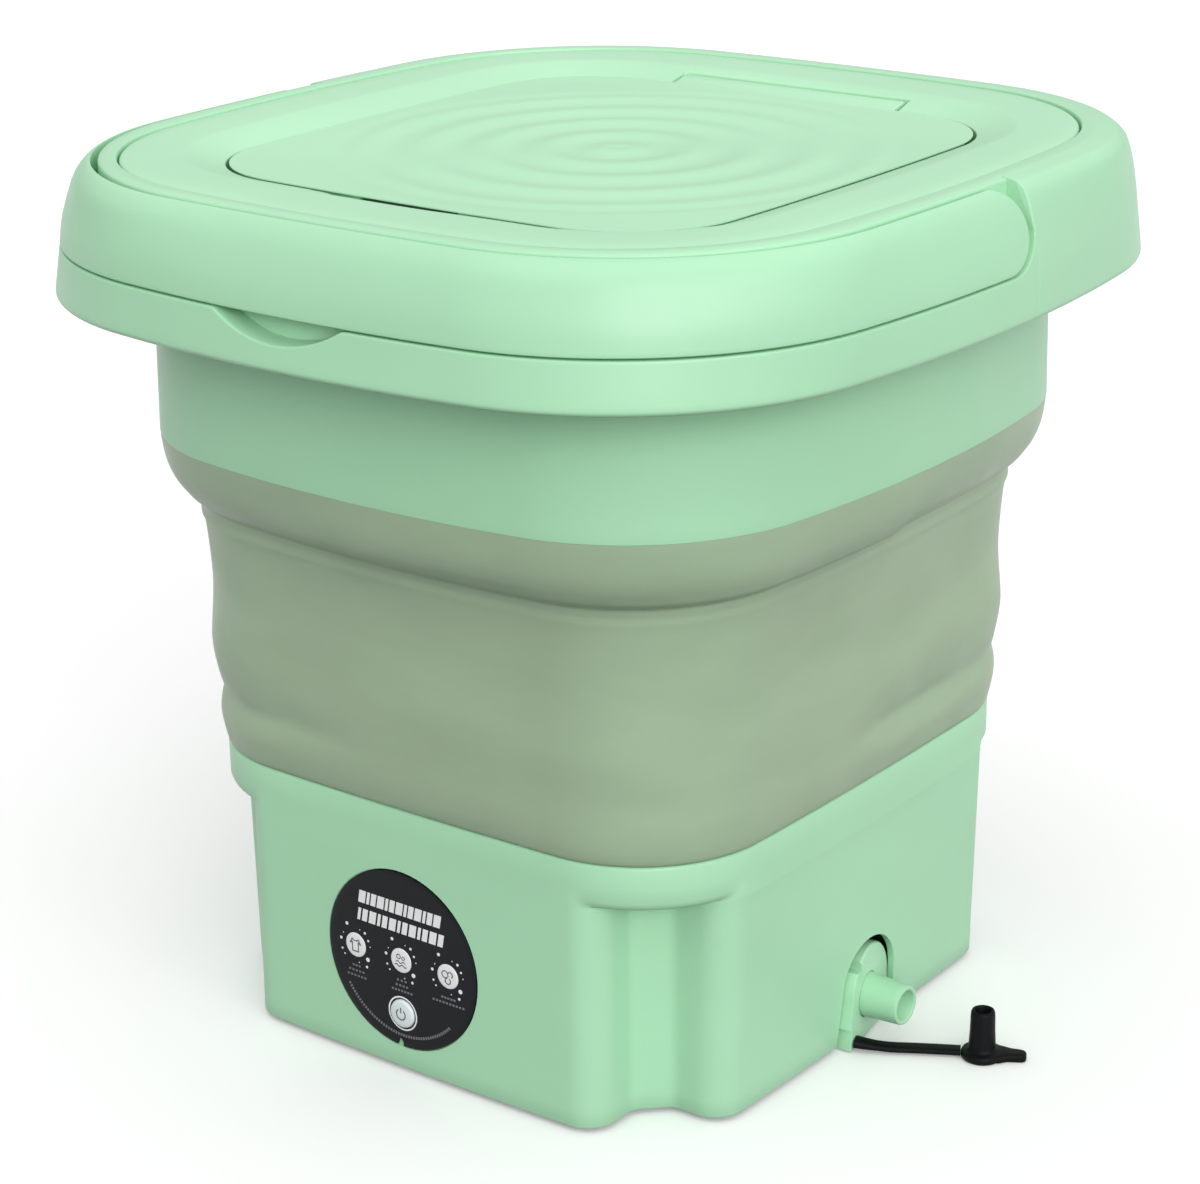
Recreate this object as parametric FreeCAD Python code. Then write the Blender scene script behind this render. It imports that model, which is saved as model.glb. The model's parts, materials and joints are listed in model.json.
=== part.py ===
import FreeCAD, Part
import math
import os

# Portable mini washer: a folding tub on a square motor base, with a carry handle and a hinged lid.
# Frame: +Z up, front (control panel) towards -Y, drain towards +X, lid hinge towards +Y.
# Origin: centre of the footprint, on the surface that the feet stand on. All sizes in millimetres.

os.makedirs("parts", exist_ok=True)
Vec = FreeCAD.Vector
X_DIR = Vec(1, 0, 0)
Y_DIR = Vec(0, 1, 0)
Z_DIR = Vec(0, 0, 1)

# ---- driving dimensions: heights ----
HOUSING_BOTTOM = 1.5
SHOULDER_Z = 80.0       # the corner notches end under this shoulder
LOWER_SEAM_Z = 96.0     # top of the base housing, start of the bellows
UPPER_SEAM_Z = 208.0    # end of the bellows, start of the upper shell
SHELL_TOP_Z = 269.4
SKIRT_BOTTOM_Z = 256.0
LEDGE_Z = 272.0         # floor of the slot that the handle lies in
LID_SEAT_Z = 284.5
DOOR_SEAT_Z = 288.5
DOOR_TOP_Z = 295.6
TUB_FLOOR_Z = 58.0

# ---- driving dimensions: outlines as (half X, half Y, side bulge, corner radius) ----
FOOTPRINT = (105.5, 112.0, 3.0, 47.0)
LOWER_SEAM = (107.5, 111.6, 3.0, 47.0)
UPPER_SEAM = (128.5, 134.5, 19.0, 70.0)
SHELL_TOP = (127.5, 133.5, 18.5, 69.5)
SKIRT_EDGE = (155.0, 165.0, 23.5, 93.0)
RIM_HOLE = (118.0, 122.0, 17.0, 59.0)
LID_SEAM = (134.4, 141.8, 13.7, 77.0)
DOOR_SEAM = (98.0, 104.0, 3.2, 39.4)

# Outer face of the rim and of the handle that completes it: (z, half X, half Y, bulge, corner radius)
RIM_PROFILE = [
    (LEDGE_Z, 154.2, 162.4, 21.5, 95.0),
    (280.0, 153.0, 160.8, 18.5, 95.0),
    (288.0, 150.6, 157.8, 14.5, 94.0),
    (294.0, 147.4, 154.0, 11.0, 92.0),
    (298.0, 143.4, 149.6, 9.0, 90.0),
]
RIM_CROWN = (299.5, 139.0, 145.4, 10.0, 86.0)
HANDLE_CORE_LOW = (142.4, 147.0, 10.0, 90.0)
HANDLE_CORE_TOP = (140.6, 145.2, 9.0, 88.0)
HANDLE_INNER = (144.0, 148.8, 8.0, 90.0)

# ---- driving dimensions: walls, notches and moving parts ----
WALL = 2.4
NOTCH_WALL_X = 75.0     # side wall of a corner notch, distance from the YZ plane
NOTCH_WALL_Y = 81.0
NOTCH_WEB = 165.5       # the diagonal web of a notch lies on |x| + |y| = this
COLUMN_R = 11.0         # rounding of the columns beside each notch
FLUTE_R = 6.0           # hollow rounding of the notch's inner edges
HANDLE_PIVOT_Z = 285.9
HANDLE_END_R = 13.3
PIVOT_R = 4.0
HINGE_Y = 108.0
HINGE_Z = 293.2
HINGE_HALF = 48.0
HINGE_BARREL_R = 2.6
HINGE_SLOT_Y = 111.6
HINGE_PIN_R = 1.5
RIPPLE_X = 5.0
RIPPLES = (4.0, 24.5, 45.0, 65.5, 86.0)
PANEL_X = -4.0
PANEL_Z = 41.7
PANEL_R = 32.0
LENS_R = 4.4
LENS_PLACES = [(-20.0, 0.0), (0.0, 0.0), (20.0, 0.0)]   # from the panel's centre, X and Z
BUTTON_PLACE = (0.0, -19.5)
BUTTON_R = 5.0
SPOUT_Y = 0.5
SPOUT_Z = 16.0
SPOUT_ROOT_R = 8.1
SPOUT_TIP_R = 6.9
SPOUT_BORE_R = 5.2
ELBOW_BORE_R = 4.4
SPOUT_ROOT_X = 100.6
SPOUT_TIP_X = 122.5
PORT_X = 66.0           # drain port in the floor of the tub
DRAIN_Y = 3.0
DRAIN_HALF = 16.0
DRAIN_SPRING_Z = 20.0
PLATE_PROUD_X = 110.4
PLATE_BACK_X = 103.0
SOCKET_X = 42.0
SOCKET_Z = 30.0
SOCKET_FACE_Y = 113.2
SHAFT_R = 4.0
RUNNING_GAP = 0.05
SCREW_R = 1.5
SCREW_HOLE_R = 1.55

# Bellows profile: (z, share of the way from the lower outline to the upper one)
BELLOWS_PROFILE = [
    (96.0, 0.0), (101.0, 0.08), (106.5, 0.13), (111.0, 0.10), (115.5, 0.04), (121.0, 0.13),
    (127.0, 0.20), (133.0, 0.23), (139.0, 0.21), (149.0, 0.16), (156.0, 0.15), (166.0, 0.18),
    (174.0, 0.23), (180.0, 0.29), (184.0, 0.38), (188.0, 0.56), (192.0, 0.74), (196.0, 0.86),
    (200.5, 0.94), (207.7, 1.0),
]

# Drain plug and its rubber strap
STRAP_R = 1.6
STRAP_ROUTE = [(109.4, -11.0, 3.4), (117.5, -6.8, 2.0), (128.0, 0.4, 1.8), (140.2, 7.2, 1.8)]
PLUG_X = 146.6
PLUG_Y = 10.4
PLUG_DISC_R = 7.1
PLUG_STEM_R = 4.3


# ---------------------------------------------------------------- geometry helpers

def unit(x, y):
    length = math.hypot(x, y)
    return x / length, y / length


def inset(outline, depth):
    """The same outline moved inwards by depth, or outwards where depth is negative."""
    half_x, half_y, bulge, radius = outline
    return half_x - depth, half_y - depth, bulge, radius - depth


def between(first, second, share):
    return tuple(a + (b - a) * share for a, b in zip(first, second))


def side_circles(half_x, half_y, bulge):
    """Centre and radius of the circles that bow the +X side and the +Y side."""
    radius_x = (half_y ** 2 + bulge ** 2) / (2 * bulge)
    radius_y = (half_x ** 2 + bulge ** 2) / (2 * bulge)
    return (half_x - radius_x, radius_x), (half_y - radius_y, radius_y)


def corner_centre(outline):
    """Centre of the corner arc that is tangent to both side circles."""
    half_x, half_y, bulge, radius = outline
    (x0, radius_x), (y0, radius_y) = side_circles(half_x, half_y, bulge)
    reach_x = radius_x - radius
    reach_y = radius_y - radius
    span = math.hypot(x0, y0)
    along = (reach_x ** 2 - reach_y ** 2 + span ** 2) / (2 * span)
    off = math.sqrt(reach_x ** 2 - along ** 2)
    ex, ey = unit(-x0, y0)
    return x0 + ex * along - ey * off, ey * along + ex * off


def arc_about(cx, cy, radius, start, end):
    """Arc segment about a centre, from start to end the short way, as three points."""
    mx, my = unit((start[0] + end[0]) / 2 - cx, (start[1] + end[1]) / 2 - cy)
    return start, (cx + mx * radius, cy + my * radius), end


def on_circle(cx, cy, radius, towards):
    ux, uy = unit(towards[0] - cx, towards[1] - cy)
    return cx + ux * radius, cy + uy * radius


def mirrored(segments, sign_x, sign_y):
    """A quadrant's segments mirrored into another quadrant, still counter-clockwise."""
    moved = [tuple((x * sign_x, y * sign_y) for x, y in segment) for segment in segments]
    if sign_x * sign_y < 0:
        moved = [tuple(reversed(segment)) for segment in reversed(moved)]
    return moved


def closed_wire(quadrant, half_x, half_y, z):
    """Wire from the segments of the +X +Y quadrant and the four bowed sides."""
    start = quadrant[0][0]
    end = quadrant[-1][-1]
    side_x = [((start[0], -start[1]), (half_x, 0), start)]
    side_y = [(end, (0, half_y), (-end[0], end[1]))]
    segments = side_x + quadrant + side_y + mirrored(quadrant, -1, 1)
    segments += mirrored(side_x, -1, -1) + mirrored(quadrant, -1, -1)
    segments += mirrored(side_y, -1, -1) + mirrored(quadrant, 1, -1)
    edges = []
    for segment in segments:
        points = [Vec(x, y, z) for x, y in segment]
        if len(points) == 3:
            edges.append(Part.Arc(*points).toShape())
        else:
            edges.append(Part.LineSegment(*points).toShape())
    return Part.Wire(edges)


def plain_wire(outline, z):
    """Rounded square with bowed sides."""
    half_x, half_y, bulge, radius = outline
    (x0, radius_x), (y0, radius_y) = side_circles(half_x, half_y, bulge)
    centre = corner_centre(outline)
    start = on_circle(x0, 0, radius_x, centre)
    end = on_circle(0, y0, radius_y, centre)
    return closed_wire([arc_about(centre[0], centre[1], radius, start, end)], half_x, half_y, z)


def notched_wire(outline, z, depth):
    """The base's outline with its four corner notches, all moved inwards by depth."""
    half_x, half_y, bulge, _ = inset(outline, depth)
    (x0, radius_x), (y0, radius_y) = side_circles(half_x, half_y, bulge)
    wall_x = NOTCH_WALL_X - depth
    wall_y = NOTCH_WALL_Y - depth
    web = NOTCH_WEB - depth * math.sqrt(2)
    column = COLUMN_R - depth
    flute = FLUTE_R + depth
    cut_back = flute * math.tan(math.radians(22.5))
    diagonal = cut_back / math.sqrt(2)

    right_cy = wall_y - column
    right_cx = x0 + math.sqrt((radius_x - column) ** 2 - right_cy ** 2)
    front_cx = wall_x - column
    front_cy = y0 + math.sqrt((radius_y - column) ** 2 - front_cx ** 2)
    right_start = on_circle(x0, 0, radius_x, (right_cx, right_cy))
    right_end = (right_cx, wall_y)
    front_start = (wall_x, front_cy)
    front_end = on_circle(0, y0, radius_y, (front_cx, front_cy))

    low = (web - wall_y, wall_y)
    high = (wall_x, web - wall_x)
    low_wall = (low[0] + cut_back, low[1])
    low_web = (low[0] - diagonal, low[1] + diagonal)
    high_web = (high[0] + diagonal, high[1] - diagonal)
    high_wall = (high[0], high[1] + cut_back)
    quadrant = [
        arc_about(right_cx, right_cy, column, right_start, right_end),
        (right_end, low_wall),
        arc_about(low_wall[0], low_wall[1] + flute, flute, low_wall, low_web),
        (low_web, high_web),
        arc_about(high_wall[0] + flute, high_wall[1], flute, high_web, high_wall),
        (high_wall, front_start),
        arc_about(front_cx, front_cy, column, front_start, front_end),
    ]
    return closed_wire(quadrant, half_x, half_y, z)


def loft(wires):
    return Part.makeLoft(wires, True, True)


def prism(outline, low, high):
    return loft([plain_wire(outline, low), plain_wire(outline, high)])


def band(outline, outer, inner, low, high):
    """Ring between two insets of an outline."""
    return prism(inset(outline, outer), low, high).cut(prism(inset(outline, inner), low - 1, high + 1))


def profile_loft(rows):
    return loft([plain_wire(row[1:], row[0]) for row in rows])


def rod(radius, length, x, y, z, direction=Z_DIR):
    return Part.makeCylinder(radius, length, Vec(x, y, z), direction)


def tube(outer, inner, length, x, y, z, direction=Z_DIR):
    return rod(outer, length, x, y, z, direction).cut(rod(inner, length, x, y, z, direction))


def block(x0, x1, y0, y1, z0, z1):
    return Part.makeBox(x1 - x0, y1 - y0, z1 - z0, Vec(x0, y0, z0))


def fuse_all(shapes):
    result = shapes[0]
    for shape in shapes[1:]:
        result = result.fuse(shape)
    return result.removeSplitter()


def cut_all(shape, tools):
    for tool in tools:
        shape = shape.cut(tool)
    return shape


def four(x, y):
    return [(sx * x, sy * y) for sx in (1, -1) for sy in (1, -1)]


def screw(x, y, under_head, length, head_r=3.0, head_h=1.5):
    """Pan-head screw that points up; under_head is where its head meets the part."""
    head = rod(head_r, head_h, x, y, under_head - head_h)
    socket = rod(1.2, 0.8, x, y, under_head - head_h)
    return head.cut(socket).fuse(rod(SCREW_R, length, x, y, under_head))


def export(name, shape):
    if isinstance(shape, list):
        shape = Part.makeCompound(shape)
    if not shape.isValid():
        print("NOT VALID", name)
    box = shape.BoundBox
    print("%-18s solids %d  volume %9.0f  z %.1f to %.1f" % (
        name, len(shape.Solids), shape.Volume, box.ZMin, box.ZMax))
    shape.exportStep("parts/%s.step" % name)


# ---------------------------------------------------------------- base

POST_DEPTH = WALL + 3.0
POST_X = (NOTCH_WALL_X + NOTCH_WEB - NOTCH_WALL_Y) / 2 - POST_DEPTH / math.sqrt(2)
POST_Y = (NOTCH_WALL_Y + NOTCH_WEB - NOTCH_WALL_X) / 2 - POST_DEPTH / math.sqrt(2)
COVER_LOW = 3.5
COVER_HIGH = 6.5
BOARD_Y = -101.6
BOARD_THICK = 1.6
BOARD_POST = 23.0


def base_solid(depth, low=HOUSING_BOTTOM, shelf=SHOULDER_Z, high=LOWER_SEAM_Z):
    """Solid inside the base's outer surface, moved inwards by depth: notched below a rounded shelf."""
    column = loft([notched_wire(FOOTPRINT, low, depth), notched_wire(LOWER_SEAM, shelf + 4.0, depth)])
    rows = [(shelf, depth + 3.0), (shelf + 1.0, depth + 1.2), (shelf + 3.5, depth), (high, depth)]
    return column.fuse(profile_loft([(z,) + inset(LOWER_SEAM, back) for z, back in rows]))


def panel_layer(outside, inside, cutter):
    """Curved layer of the front wall, from outside proud to inside deep, within a cutter."""
    skin = base_solid(-outside).cut(base_solid(inside, HOUSING_BOTTOM - 1))
    return skin.common(cutter)


def front_rod(radius, place, length=20.0):
    """Rod along Y through the front wall, at a place counted from the panel's centre."""
    return rod(radius, length, PANEL_X + place[0], -118.0, PANEL_Z + place[1], Y_DIR)


def arch(half, spring, x0, x1, low):
    """Arch-shaped block along X: straight sides and a half-round top."""
    left = DRAIN_Y - half
    right = DRAIN_Y + half
    top = rod(half, x1 - x0, x0, DRAIN_Y, spring, X_DIR)
    top = top.common(block(x0, x1, left, right, spring - 1, spring + half + 1))
    return block(x0, x1, left, right, low, spring).fuse(top)


def base_housing():
    shell = base_solid(0).cut(base_solid(WALL, HOUSING_BOTTOM - 1, SHOULDER_Z + WALL, LOWER_SEAM_Z + 1))
    posts = [rod(5.0, 34.0, x, y, COVER_HIGH) for x, y in four(POST_X, POST_Y)]
    board_posts = [rod(3.2, 8.8, PANEL_X + x, BOARD_Y - 8.8, PANEL_Z + z, Y_DIR)
                   for x, z in four(BOARD_POST, BOARD_POST)]
    shell = fuse_all([shell] + posts + board_posts)
    cutters = [rod(SCREW_HOLE_R, 22.0, x, y, COVER_HIGH - 1) for x, y in four(POST_X, POST_Y)]
    cutters += [rod(SCREW_HOLE_R, 6.0, PANEL_X + x, BOARD_Y - 4.0, PANEL_Z + z, Y_DIR)
                for x, z in four(BOARD_POST, BOARD_POST)]
    cutters.append(panel_layer(2.0, 1.0, front_rod(PANEL_R + 0.15, (0, 0))))
    cutters.append(front_rod(BUTTON_R + 0.2, BUTTON_PLACE))
    cutters.append(arch(DRAIN_HALF, DRAIN_SPRING_Z, 95.0, 115.0, 0.0))
    cutters.append(rod(5.6, 20.0, SOCKET_X, 100.0, SOCKET_Z, Y_DIR))
    return cut_all(shell, cutters)


def bottom_cover():
    plate = loft([notched_wire(FOOTPRINT, z, WALL + 0.3) for z in (COVER_LOW, COVER_HIGH)])
    cutters = [rod(SCREW_HOLE_R, 6.0, x, y, 2.0) for x, y in four(POST_X, POST_Y)]
    cutters += [rod(3.3, 1.6, x, y, COVER_LOW) for x, y in four(POST_X, POST_Y)]
    cutters.append(block(100.0, 110.0, DRAIN_Y - DRAIN_HALF, DRAIN_Y + DRAIN_HALF, 0.0, 10.0))
    return cut_all(plate, cutters)


def wash_tub():
    bowl_rows = [
        (TUB_FLOOR_Z, 80.0, 84.0, 2.0, 50.0),
        (66.0, 88.0, 92.0, 2.0, 58.0),
        (84.6, 90.0, 94.0, 2.0, 60.0),
    ]
    inner_rows = [(row[0] + WALL,) + inset(row[1:], WALL) for row in bowl_rows[:2]]
    inner_rows.append((86.0,) + inset(bowl_rows[2][1:], WALL))
    upper = prism(inset(LOWER_SEAM, 8.3), SHOULDER_Z + 2.5, 98.8)
    lip = prism(inset(LOWER_SEAM, 5.3), 97.1, 98.8)
    boss = rod(13.0, 9.0, 0, 0, 54.6)
    port = rod(9.0, 4.0, PORT_X, SPOUT_Y, 56.0)
    mounts = [rod(5.0, 4.0, x, y, 54.6) for x, y in four(28.0, 28.0)]
    tub = fuse_all([profile_loft(bowl_rows), upper, lip, port] + mounts)
    tub = tub.cut(profile_loft(inner_rows))
    tub = tub.cut(prism(inset(LOWER_SEAM, 8.3 + WALL), SHOULDER_Z + 4.9, 100.0))
    tub = tub.fuse(boss).removeSplitter()
    cutters = [rod(7.0, 20.0, 0, 0, 50.0), rod(9.0, 3.0, 0, 0, 60.8)]
    cutters.append(rod(ELBOW_BORE_R, 10.0, PORT_X, SPOUT_Y, 54.0))
    cutters += [rod(SCREW_HOLE_R, 5.4, x, y, 53.0) for x, y in four(28.0, 28.0)]
    return cut_all(tub, cutters)


def bellows():
    outer = [(z,) + between(LOWER_SEAM, UPPER_SEAM, share) for z, share in BELLOWS_PROFILE]
    inner = [(z,) + inset(between(LOWER_SEAM, UPPER_SEAM, share), WALL + 0.2) for z, share in BELLOWS_PROFILE]
    inner[0] = (95.0,) + inner[0][1:]
    inner[-1] = (UPPER_SEAM_Z + 1.0,) + inner[-1][1:]
    skin = profile_loft(outer).cut(profile_loft(inner))
    foot = band(LOWER_SEAM, WALL + 0.1, 5.2, 87.0, 97.0)
    foot_web = band(LOWER_SEAM, 1.2, 5.2, 96.2, 98.4)
    head_web = band(UPPER_SEAM, 1.6, 4.9, UPPER_SEAM_Z - 2.6, UPPER_SEAM_Z - 0.3)
    head = band(UPPER_SEAM, WALL + 0.4, 4.9, UPPER_SEAM_Z - 1.0, UPPER_SEAM_Z + 9.0)
    return fuse_all([skin, foot, foot_web, head_web, head])


def control_panel():
    disc = panel_layer(0.4, 1.0, front_rod(PANEL_R, (0, 0)))
    cutters = [front_rod(LENS_R + 0.05, place) for place in LENS_PLACES]
    cutters.append(front_rod(BUTTON_R + 0.2, BUTTON_PLACE))
    return cut_all(disc, cutters)


def indicator_lenses():
    return [panel_layer(0.6, 1.0, front_rod(LENS_R, place)) for place in LENS_PLACES]


def power_button():
    cap = panel_layer(1.4, 0.95, front_rod(BUTTON_R, BUTTON_PLACE))
    x = PANEL_X + BUTTON_PLACE[0]
    z = PANEL_Z + BUTTON_PLACE[1]
    return cap.fuse(rod(2.5, 7.0, x, -111.8, z, Y_DIR)).removeSplitter()


def control_board():
    half = 28.0
    back_y = BOARD_Y + BOARD_THICK
    board = block(PANEL_X - half, PANEL_X + half, BOARD_Y, back_y, PANEL_Z - half, PANEL_Z + half)
    lamps = [rod(2.5, 4.0, PANEL_X + x, BOARD_Y - 4.0, PANEL_Z + z, Y_DIR) for x, z in LENS_PLACES]
    switch_x = PANEL_X + BUTTON_PLACE[0]
    switch_z = PANEL_Z + BUTTON_PLACE[1]
    switch = block(switch_x - 3, switch_x + 3, BOARD_Y - 2.0, BOARD_Y, switch_z - 3, switch_z + 3)
    plug_row = block(PANEL_X - 8, PANEL_X + 8, BOARD_Y + 1, BOARD_Y + 9, PANEL_Z + 12, PANEL_Z + 20)
    board = fuse_all([board, switch, plug_row] + lamps)
    holes = [rod(SCREW_HOLE_R, 8.0, PANEL_X + x, BOARD_Y - 3, PANEL_Z + z, Y_DIR)
             for x, z in four(BOARD_POST, BOARD_POST)]
    return cut_all(board, holes)


def board_screws():
    screws = []
    for x, z in four(BOARD_POST, BOARD_POST):
        head = rod(2.8, 1.5, PANEL_X + x, BOARD_Y + BOARD_THICK, PANEL_Z + z, Y_DIR)
        shank = rod(SCREW_R, 5.0, PANEL_X + x, BOARD_Y + BOARD_THICK - 5.0, PANEL_Z + z, Y_DIR)
        screws.append(head.fuse(shank).removeSplitter())
    return screws


def dc_socket():
    flange = rod(7.6, 1.6, SOCKET_X, SOCKET_FACE_Y - 1.6, SOCKET_Z, Y_DIR)
    barrel = rod(5.5, 13.6, SOCKET_X, SOCKET_FACE_Y - 15.2, SOCKET_Z, Y_DIR)
    bore = rod(2.75, 10.0, SOCKET_X, SOCKET_FACE_Y - 9.0, SOCKET_Z, Y_DIR)
    pin = rod(1.05, 7.0, SOCKET_X, SOCKET_FACE_Y - 9.1, SOCKET_Z, Y_DIR)
    return flange.fuse(barrel).cut(bore).fuse(pin).removeSplitter()


# ---------------------------------------------------------------- drive

def motor_bracket():
    plate = rod(42.0, 2.4, 0, 0, 52.1)
    holes = [rod(SCREW_HOLE_R, 6.0, x, y, 50.0) for x, y in four(28.0, 28.0)]
    return cut_all(plate, holes + [rod(14.0, 6.0, 0, 0, 50.0)])


def gearbox_housing():
    case = fuse_all([rod(27.0, 12.0, 0, 0, 40.0), rod(13.9, 2.4, 0, 0, 52.0)])
    return case.cut(rod(SHAFT_R + RUNNING_GAP, 12.0, 0, 0, 46.0))


def motor():
    can = rod(24.0, 30.9, 0, 0, 9.0)
    can = can.makeFillet(2.0, [edge for edge in can.Edges if abs(edge.BoundBox.ZMax - 9.0) < 0.01])
    return can.cut(rod(6.0, 1.0, 0, 0, 9.0))


def pulsator():
    hub = rod(14.0, 11.0, 0, 0, 66.0)
    disc = rod(60.0, 3.0, 0, 0, 67.0)
    fins = []
    for turn in range(4):
        fin = block(10.0, 56.0, -4.0, 4.0, 69.0, 78.0)
        fin = fin.makeFillet(3.5, [edge for edge in fin.Edges if edge.BoundBox.ZMin > 77.9])
        fin.rotate(Vec(0, 0, 0), Z_DIR, 90.0 * turn)
        fins.append(fin)
    wheel = fuse_all([disc, hub] + fins)
    drains = [rod(2.5, 6.0, 45 * math.cos(a), 45 * math.sin(a), 66.0)
              for a in [math.radians(22.5 + 45 * i) for i in range(8)]]
    return cut_all(wheel, drains + [rod(SHAFT_R, 7.0, 0, 0, 66.0), rod(SCREW_HOLE_R, 12.0, 0, 0, 66.0)])


def drive_shaft():
    return rod(SHAFT_R, 26.0, 0, 0, 46.5).cut(rod(SCREW_HOLE_R, 8.0, 0, 0, 65.0))


def pulsator_screw():
    return rod(4.5, 1.8, 0, 0, 77.0).cut(rod(1.6, 1.0, 0, 0, 77.8)).fuse(rod(SCREW_R, 11.0, 0, 0, 66.0))


# ---------------------------------------------------------------- drain

def drain_plate():
    """Arch-shaped flap whose outer face slants: its left edge stands proud, its right edge lies back."""
    half = DRAIN_HALF - 0.8
    slab = arch(half, DRAIN_SPRING_Z - 3.2, SPOUT_ROOT_X, 112.0, 0.8)
    left = DRAIN_Y - 20.0
    right = DRAIN_Y + 20.0
    face = [Vec(PLATE_PROUD_X, left, -1), Vec(PLATE_BACK_X, right, -1)]
    wedge = face + [Vec(120, right, -1), Vec(120, left, -1)]
    outside = Part.Face(Part.makePolygon(wedge + wedge[:1])).extrude(Vec(0, 0, 50.0))
    return slab.cut(outside).cut(spout_cone(0.05))


def spout_cone(extra):
    start = Vec(SPOUT_ROOT_X, SPOUT_Y, SPOUT_Z)
    return Part.makeCone(SPOUT_ROOT_R + extra, SPOUT_TIP_R + extra, SPOUT_TIP_X - SPOUT_ROOT_X, start, X_DIR)


def drain_spout():
    return spout_cone(0.0).cut(rod(SPOUT_BORE_R, 30.0, 98.0, SPOUT_Y, SPOUT_Z, X_DIR))


def drain_elbow():
    """Rubber elbow from the port under the tub to the back of the spout."""
    bend = 12.0
    top = Vec(PORT_X, SPOUT_Y, 54.0)
    low = Vec(PORT_X, SPOUT_Y, SPOUT_Z + bend)
    turn = Vec(PORT_X + bend, SPOUT_Y, SPOUT_Z)
    sag = bend * (1 - math.sqrt(0.5))
    middle = Vec(PORT_X + sag, SPOUT_Y, SPOUT_Z + sag)
    end = Vec(SPOUT_ROOT_X, SPOUT_Y, SPOUT_Z)
    path = Part.Wire([Part.LineSegment(top, low).toShape(), Part.Arc(low, middle, turn).toShape(),
                      Part.LineSegment(turn, end).toShape()])
    outer = path.makePipeShell([Part.Wire(Part.makeCircle(ELBOW_BORE_R + 2.2, top, Z_DIR))], True, False)
    inner = path.makePipeShell([Part.Wire(Part.makeCircle(ELBOW_BORE_R, top, Z_DIR))], True, False)
    return outer.cut(inner)


def drain_strap():
    """Rubber strap as straight runs joined by tangent arcs, each as large as its two runs allow."""
    points = [Vec(*point) for point in STRAP_ROUTE]
    edges = []
    radii = []
    last = points[0]
    for before, corner, after in zip(points, points[1:], points[2:]):
        into = before.sub(corner).normalize()
        out = after.sub(corner).normalize()
        trim = 0.45 * min(before.distanceToPoint(corner), after.distanceToPoint(corner))
        half_turn = (math.pi - into.getAngle(out)) / 2
        radius = trim / math.tan(half_turn)
        start = corner + into * trim
        end = corner + out * trim
        bisector = (into + out).normalize()
        middle = corner + bisector * (radius / math.cos(half_turn) - radius)
        edges.append(Part.LineSegment(last, start).toShape())
        edges.append(Part.Arc(start, middle, end).toShape())
        radii.append(radius)
        last = end
    edges.append(Part.LineSegment(last, points[-1]).toShape())
    path = Part.Wire(edges)
    circle = Part.Wire(Part.makeCircle(STRAP_R, points[0], points[1] - points[0]))
    strap = path.makePipeShell([circle], True, False)
    print("strap length %.1f, arc radii %s" % (path.Length, ", ".join("%.1f" % radius for radius in radii)))
    return strap


def drain_plug():
    disc = rod(PLUG_DISC_R, 2.6, PLUG_X, PLUG_Y, 0.2)
    stem = Part.makeCone(PLUG_STEM_R + 0.3, PLUG_STEM_R - 0.3, 15.0, Vec(PLUG_X, PLUG_Y, 2.8))
    hollow = rod(2.6, 8.0, PLUG_X, PLUG_Y, 9.8)
    tab = block(PLUG_X + 5.0, PLUG_X + 14.4, PLUG_Y - 3.2, PLUG_Y + 3.2, 0.2, 2.8)
    tab.rotate(Vec(PLUG_X, PLUG_Y, 0), Z_DIR, 25.0)
    return fuse_all([disc, stem, tab]).cut(hollow)


# ---------------------------------------------------------------- rim, lid and handle

RIM_SCREWS = four(120.4, 40.0) + four(40.0, 124.4)
SCOOP_HALF = 25.5
SCOOP_DEEP = 7.4
SLOT_FLOOR_GAP = 0.6
SLOT_END_GAP = 2.6


def handle_zone(radius, open_top):
    """Space of the handle: everything in front of the pivot, and a round end behind it."""
    low = HANDLE_PIVOT_Z - radius
    high = HANDLE_PIVOT_Z + radius
    back = SLOT_END_GAP if open_top else 0.0
    front = Vec(-180.0, -190.0, low)
    start = Vec(-180.0, back, low)
    side = Vec(-180.0, back + radius, HANDLE_PIVOT_Z)
    diagonal = radius * math.sqrt(0.5)
    if open_top:
        turn = Part.Arc(start, Vec(-180.0, back + diagonal, HANDLE_PIVOT_Z - diagonal), side)
        corners = [side, Vec(-180.0, back + radius, 310.0), Vec(-180.0, -190.0, 310.0), front]
    else:
        end = Vec(-180.0, 0.0, high)
        turn = Part.Arc(start, side, end)
        corners = [end, Vec(-180.0, -190.0, high), front]
    edges = [Part.LineSegment(front, start).toShape(), turn.toShape()]
    edges += [Part.LineSegment(a, b).toShape() for a, b in zip(corners, corners[1:])]
    return Part.Face(Part.Wire(edges)).extrude(Vec(360.0, 0, 0))


def handle_core(low_outline, top_outline):
    rows = [(262.0, low_outline), (LEDGE_Z, low_outline), (312.0, top_outline)]
    return loft([plain_wire(outline, z) for z, outline in rows])


def rim_outer():
    skirt = [(SKIRT_BOTTOM_Z,) + inset(SKIRT_EDGE, 1.0), (SKIRT_BOTTOM_Z + 1.5,) + SKIRT_EDGE]
    return profile_loft(skirt + RIM_PROFILE + [RIM_CROWN])


def scoop(front, back):
    radius = (SCOOP_HALF ** 2 + SCOOP_DEEP ** 2) / (2 * SCOOP_DEEP)
    bowl = rod(radius, back - front, 0.0, front, LEDGE_Z - SCOOP_DEEP + radius, Y_DIR)
    return bowl.common(block(-60.0, 60.0, front, back, 250.0, LEDGE_Z + 1.0))


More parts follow.
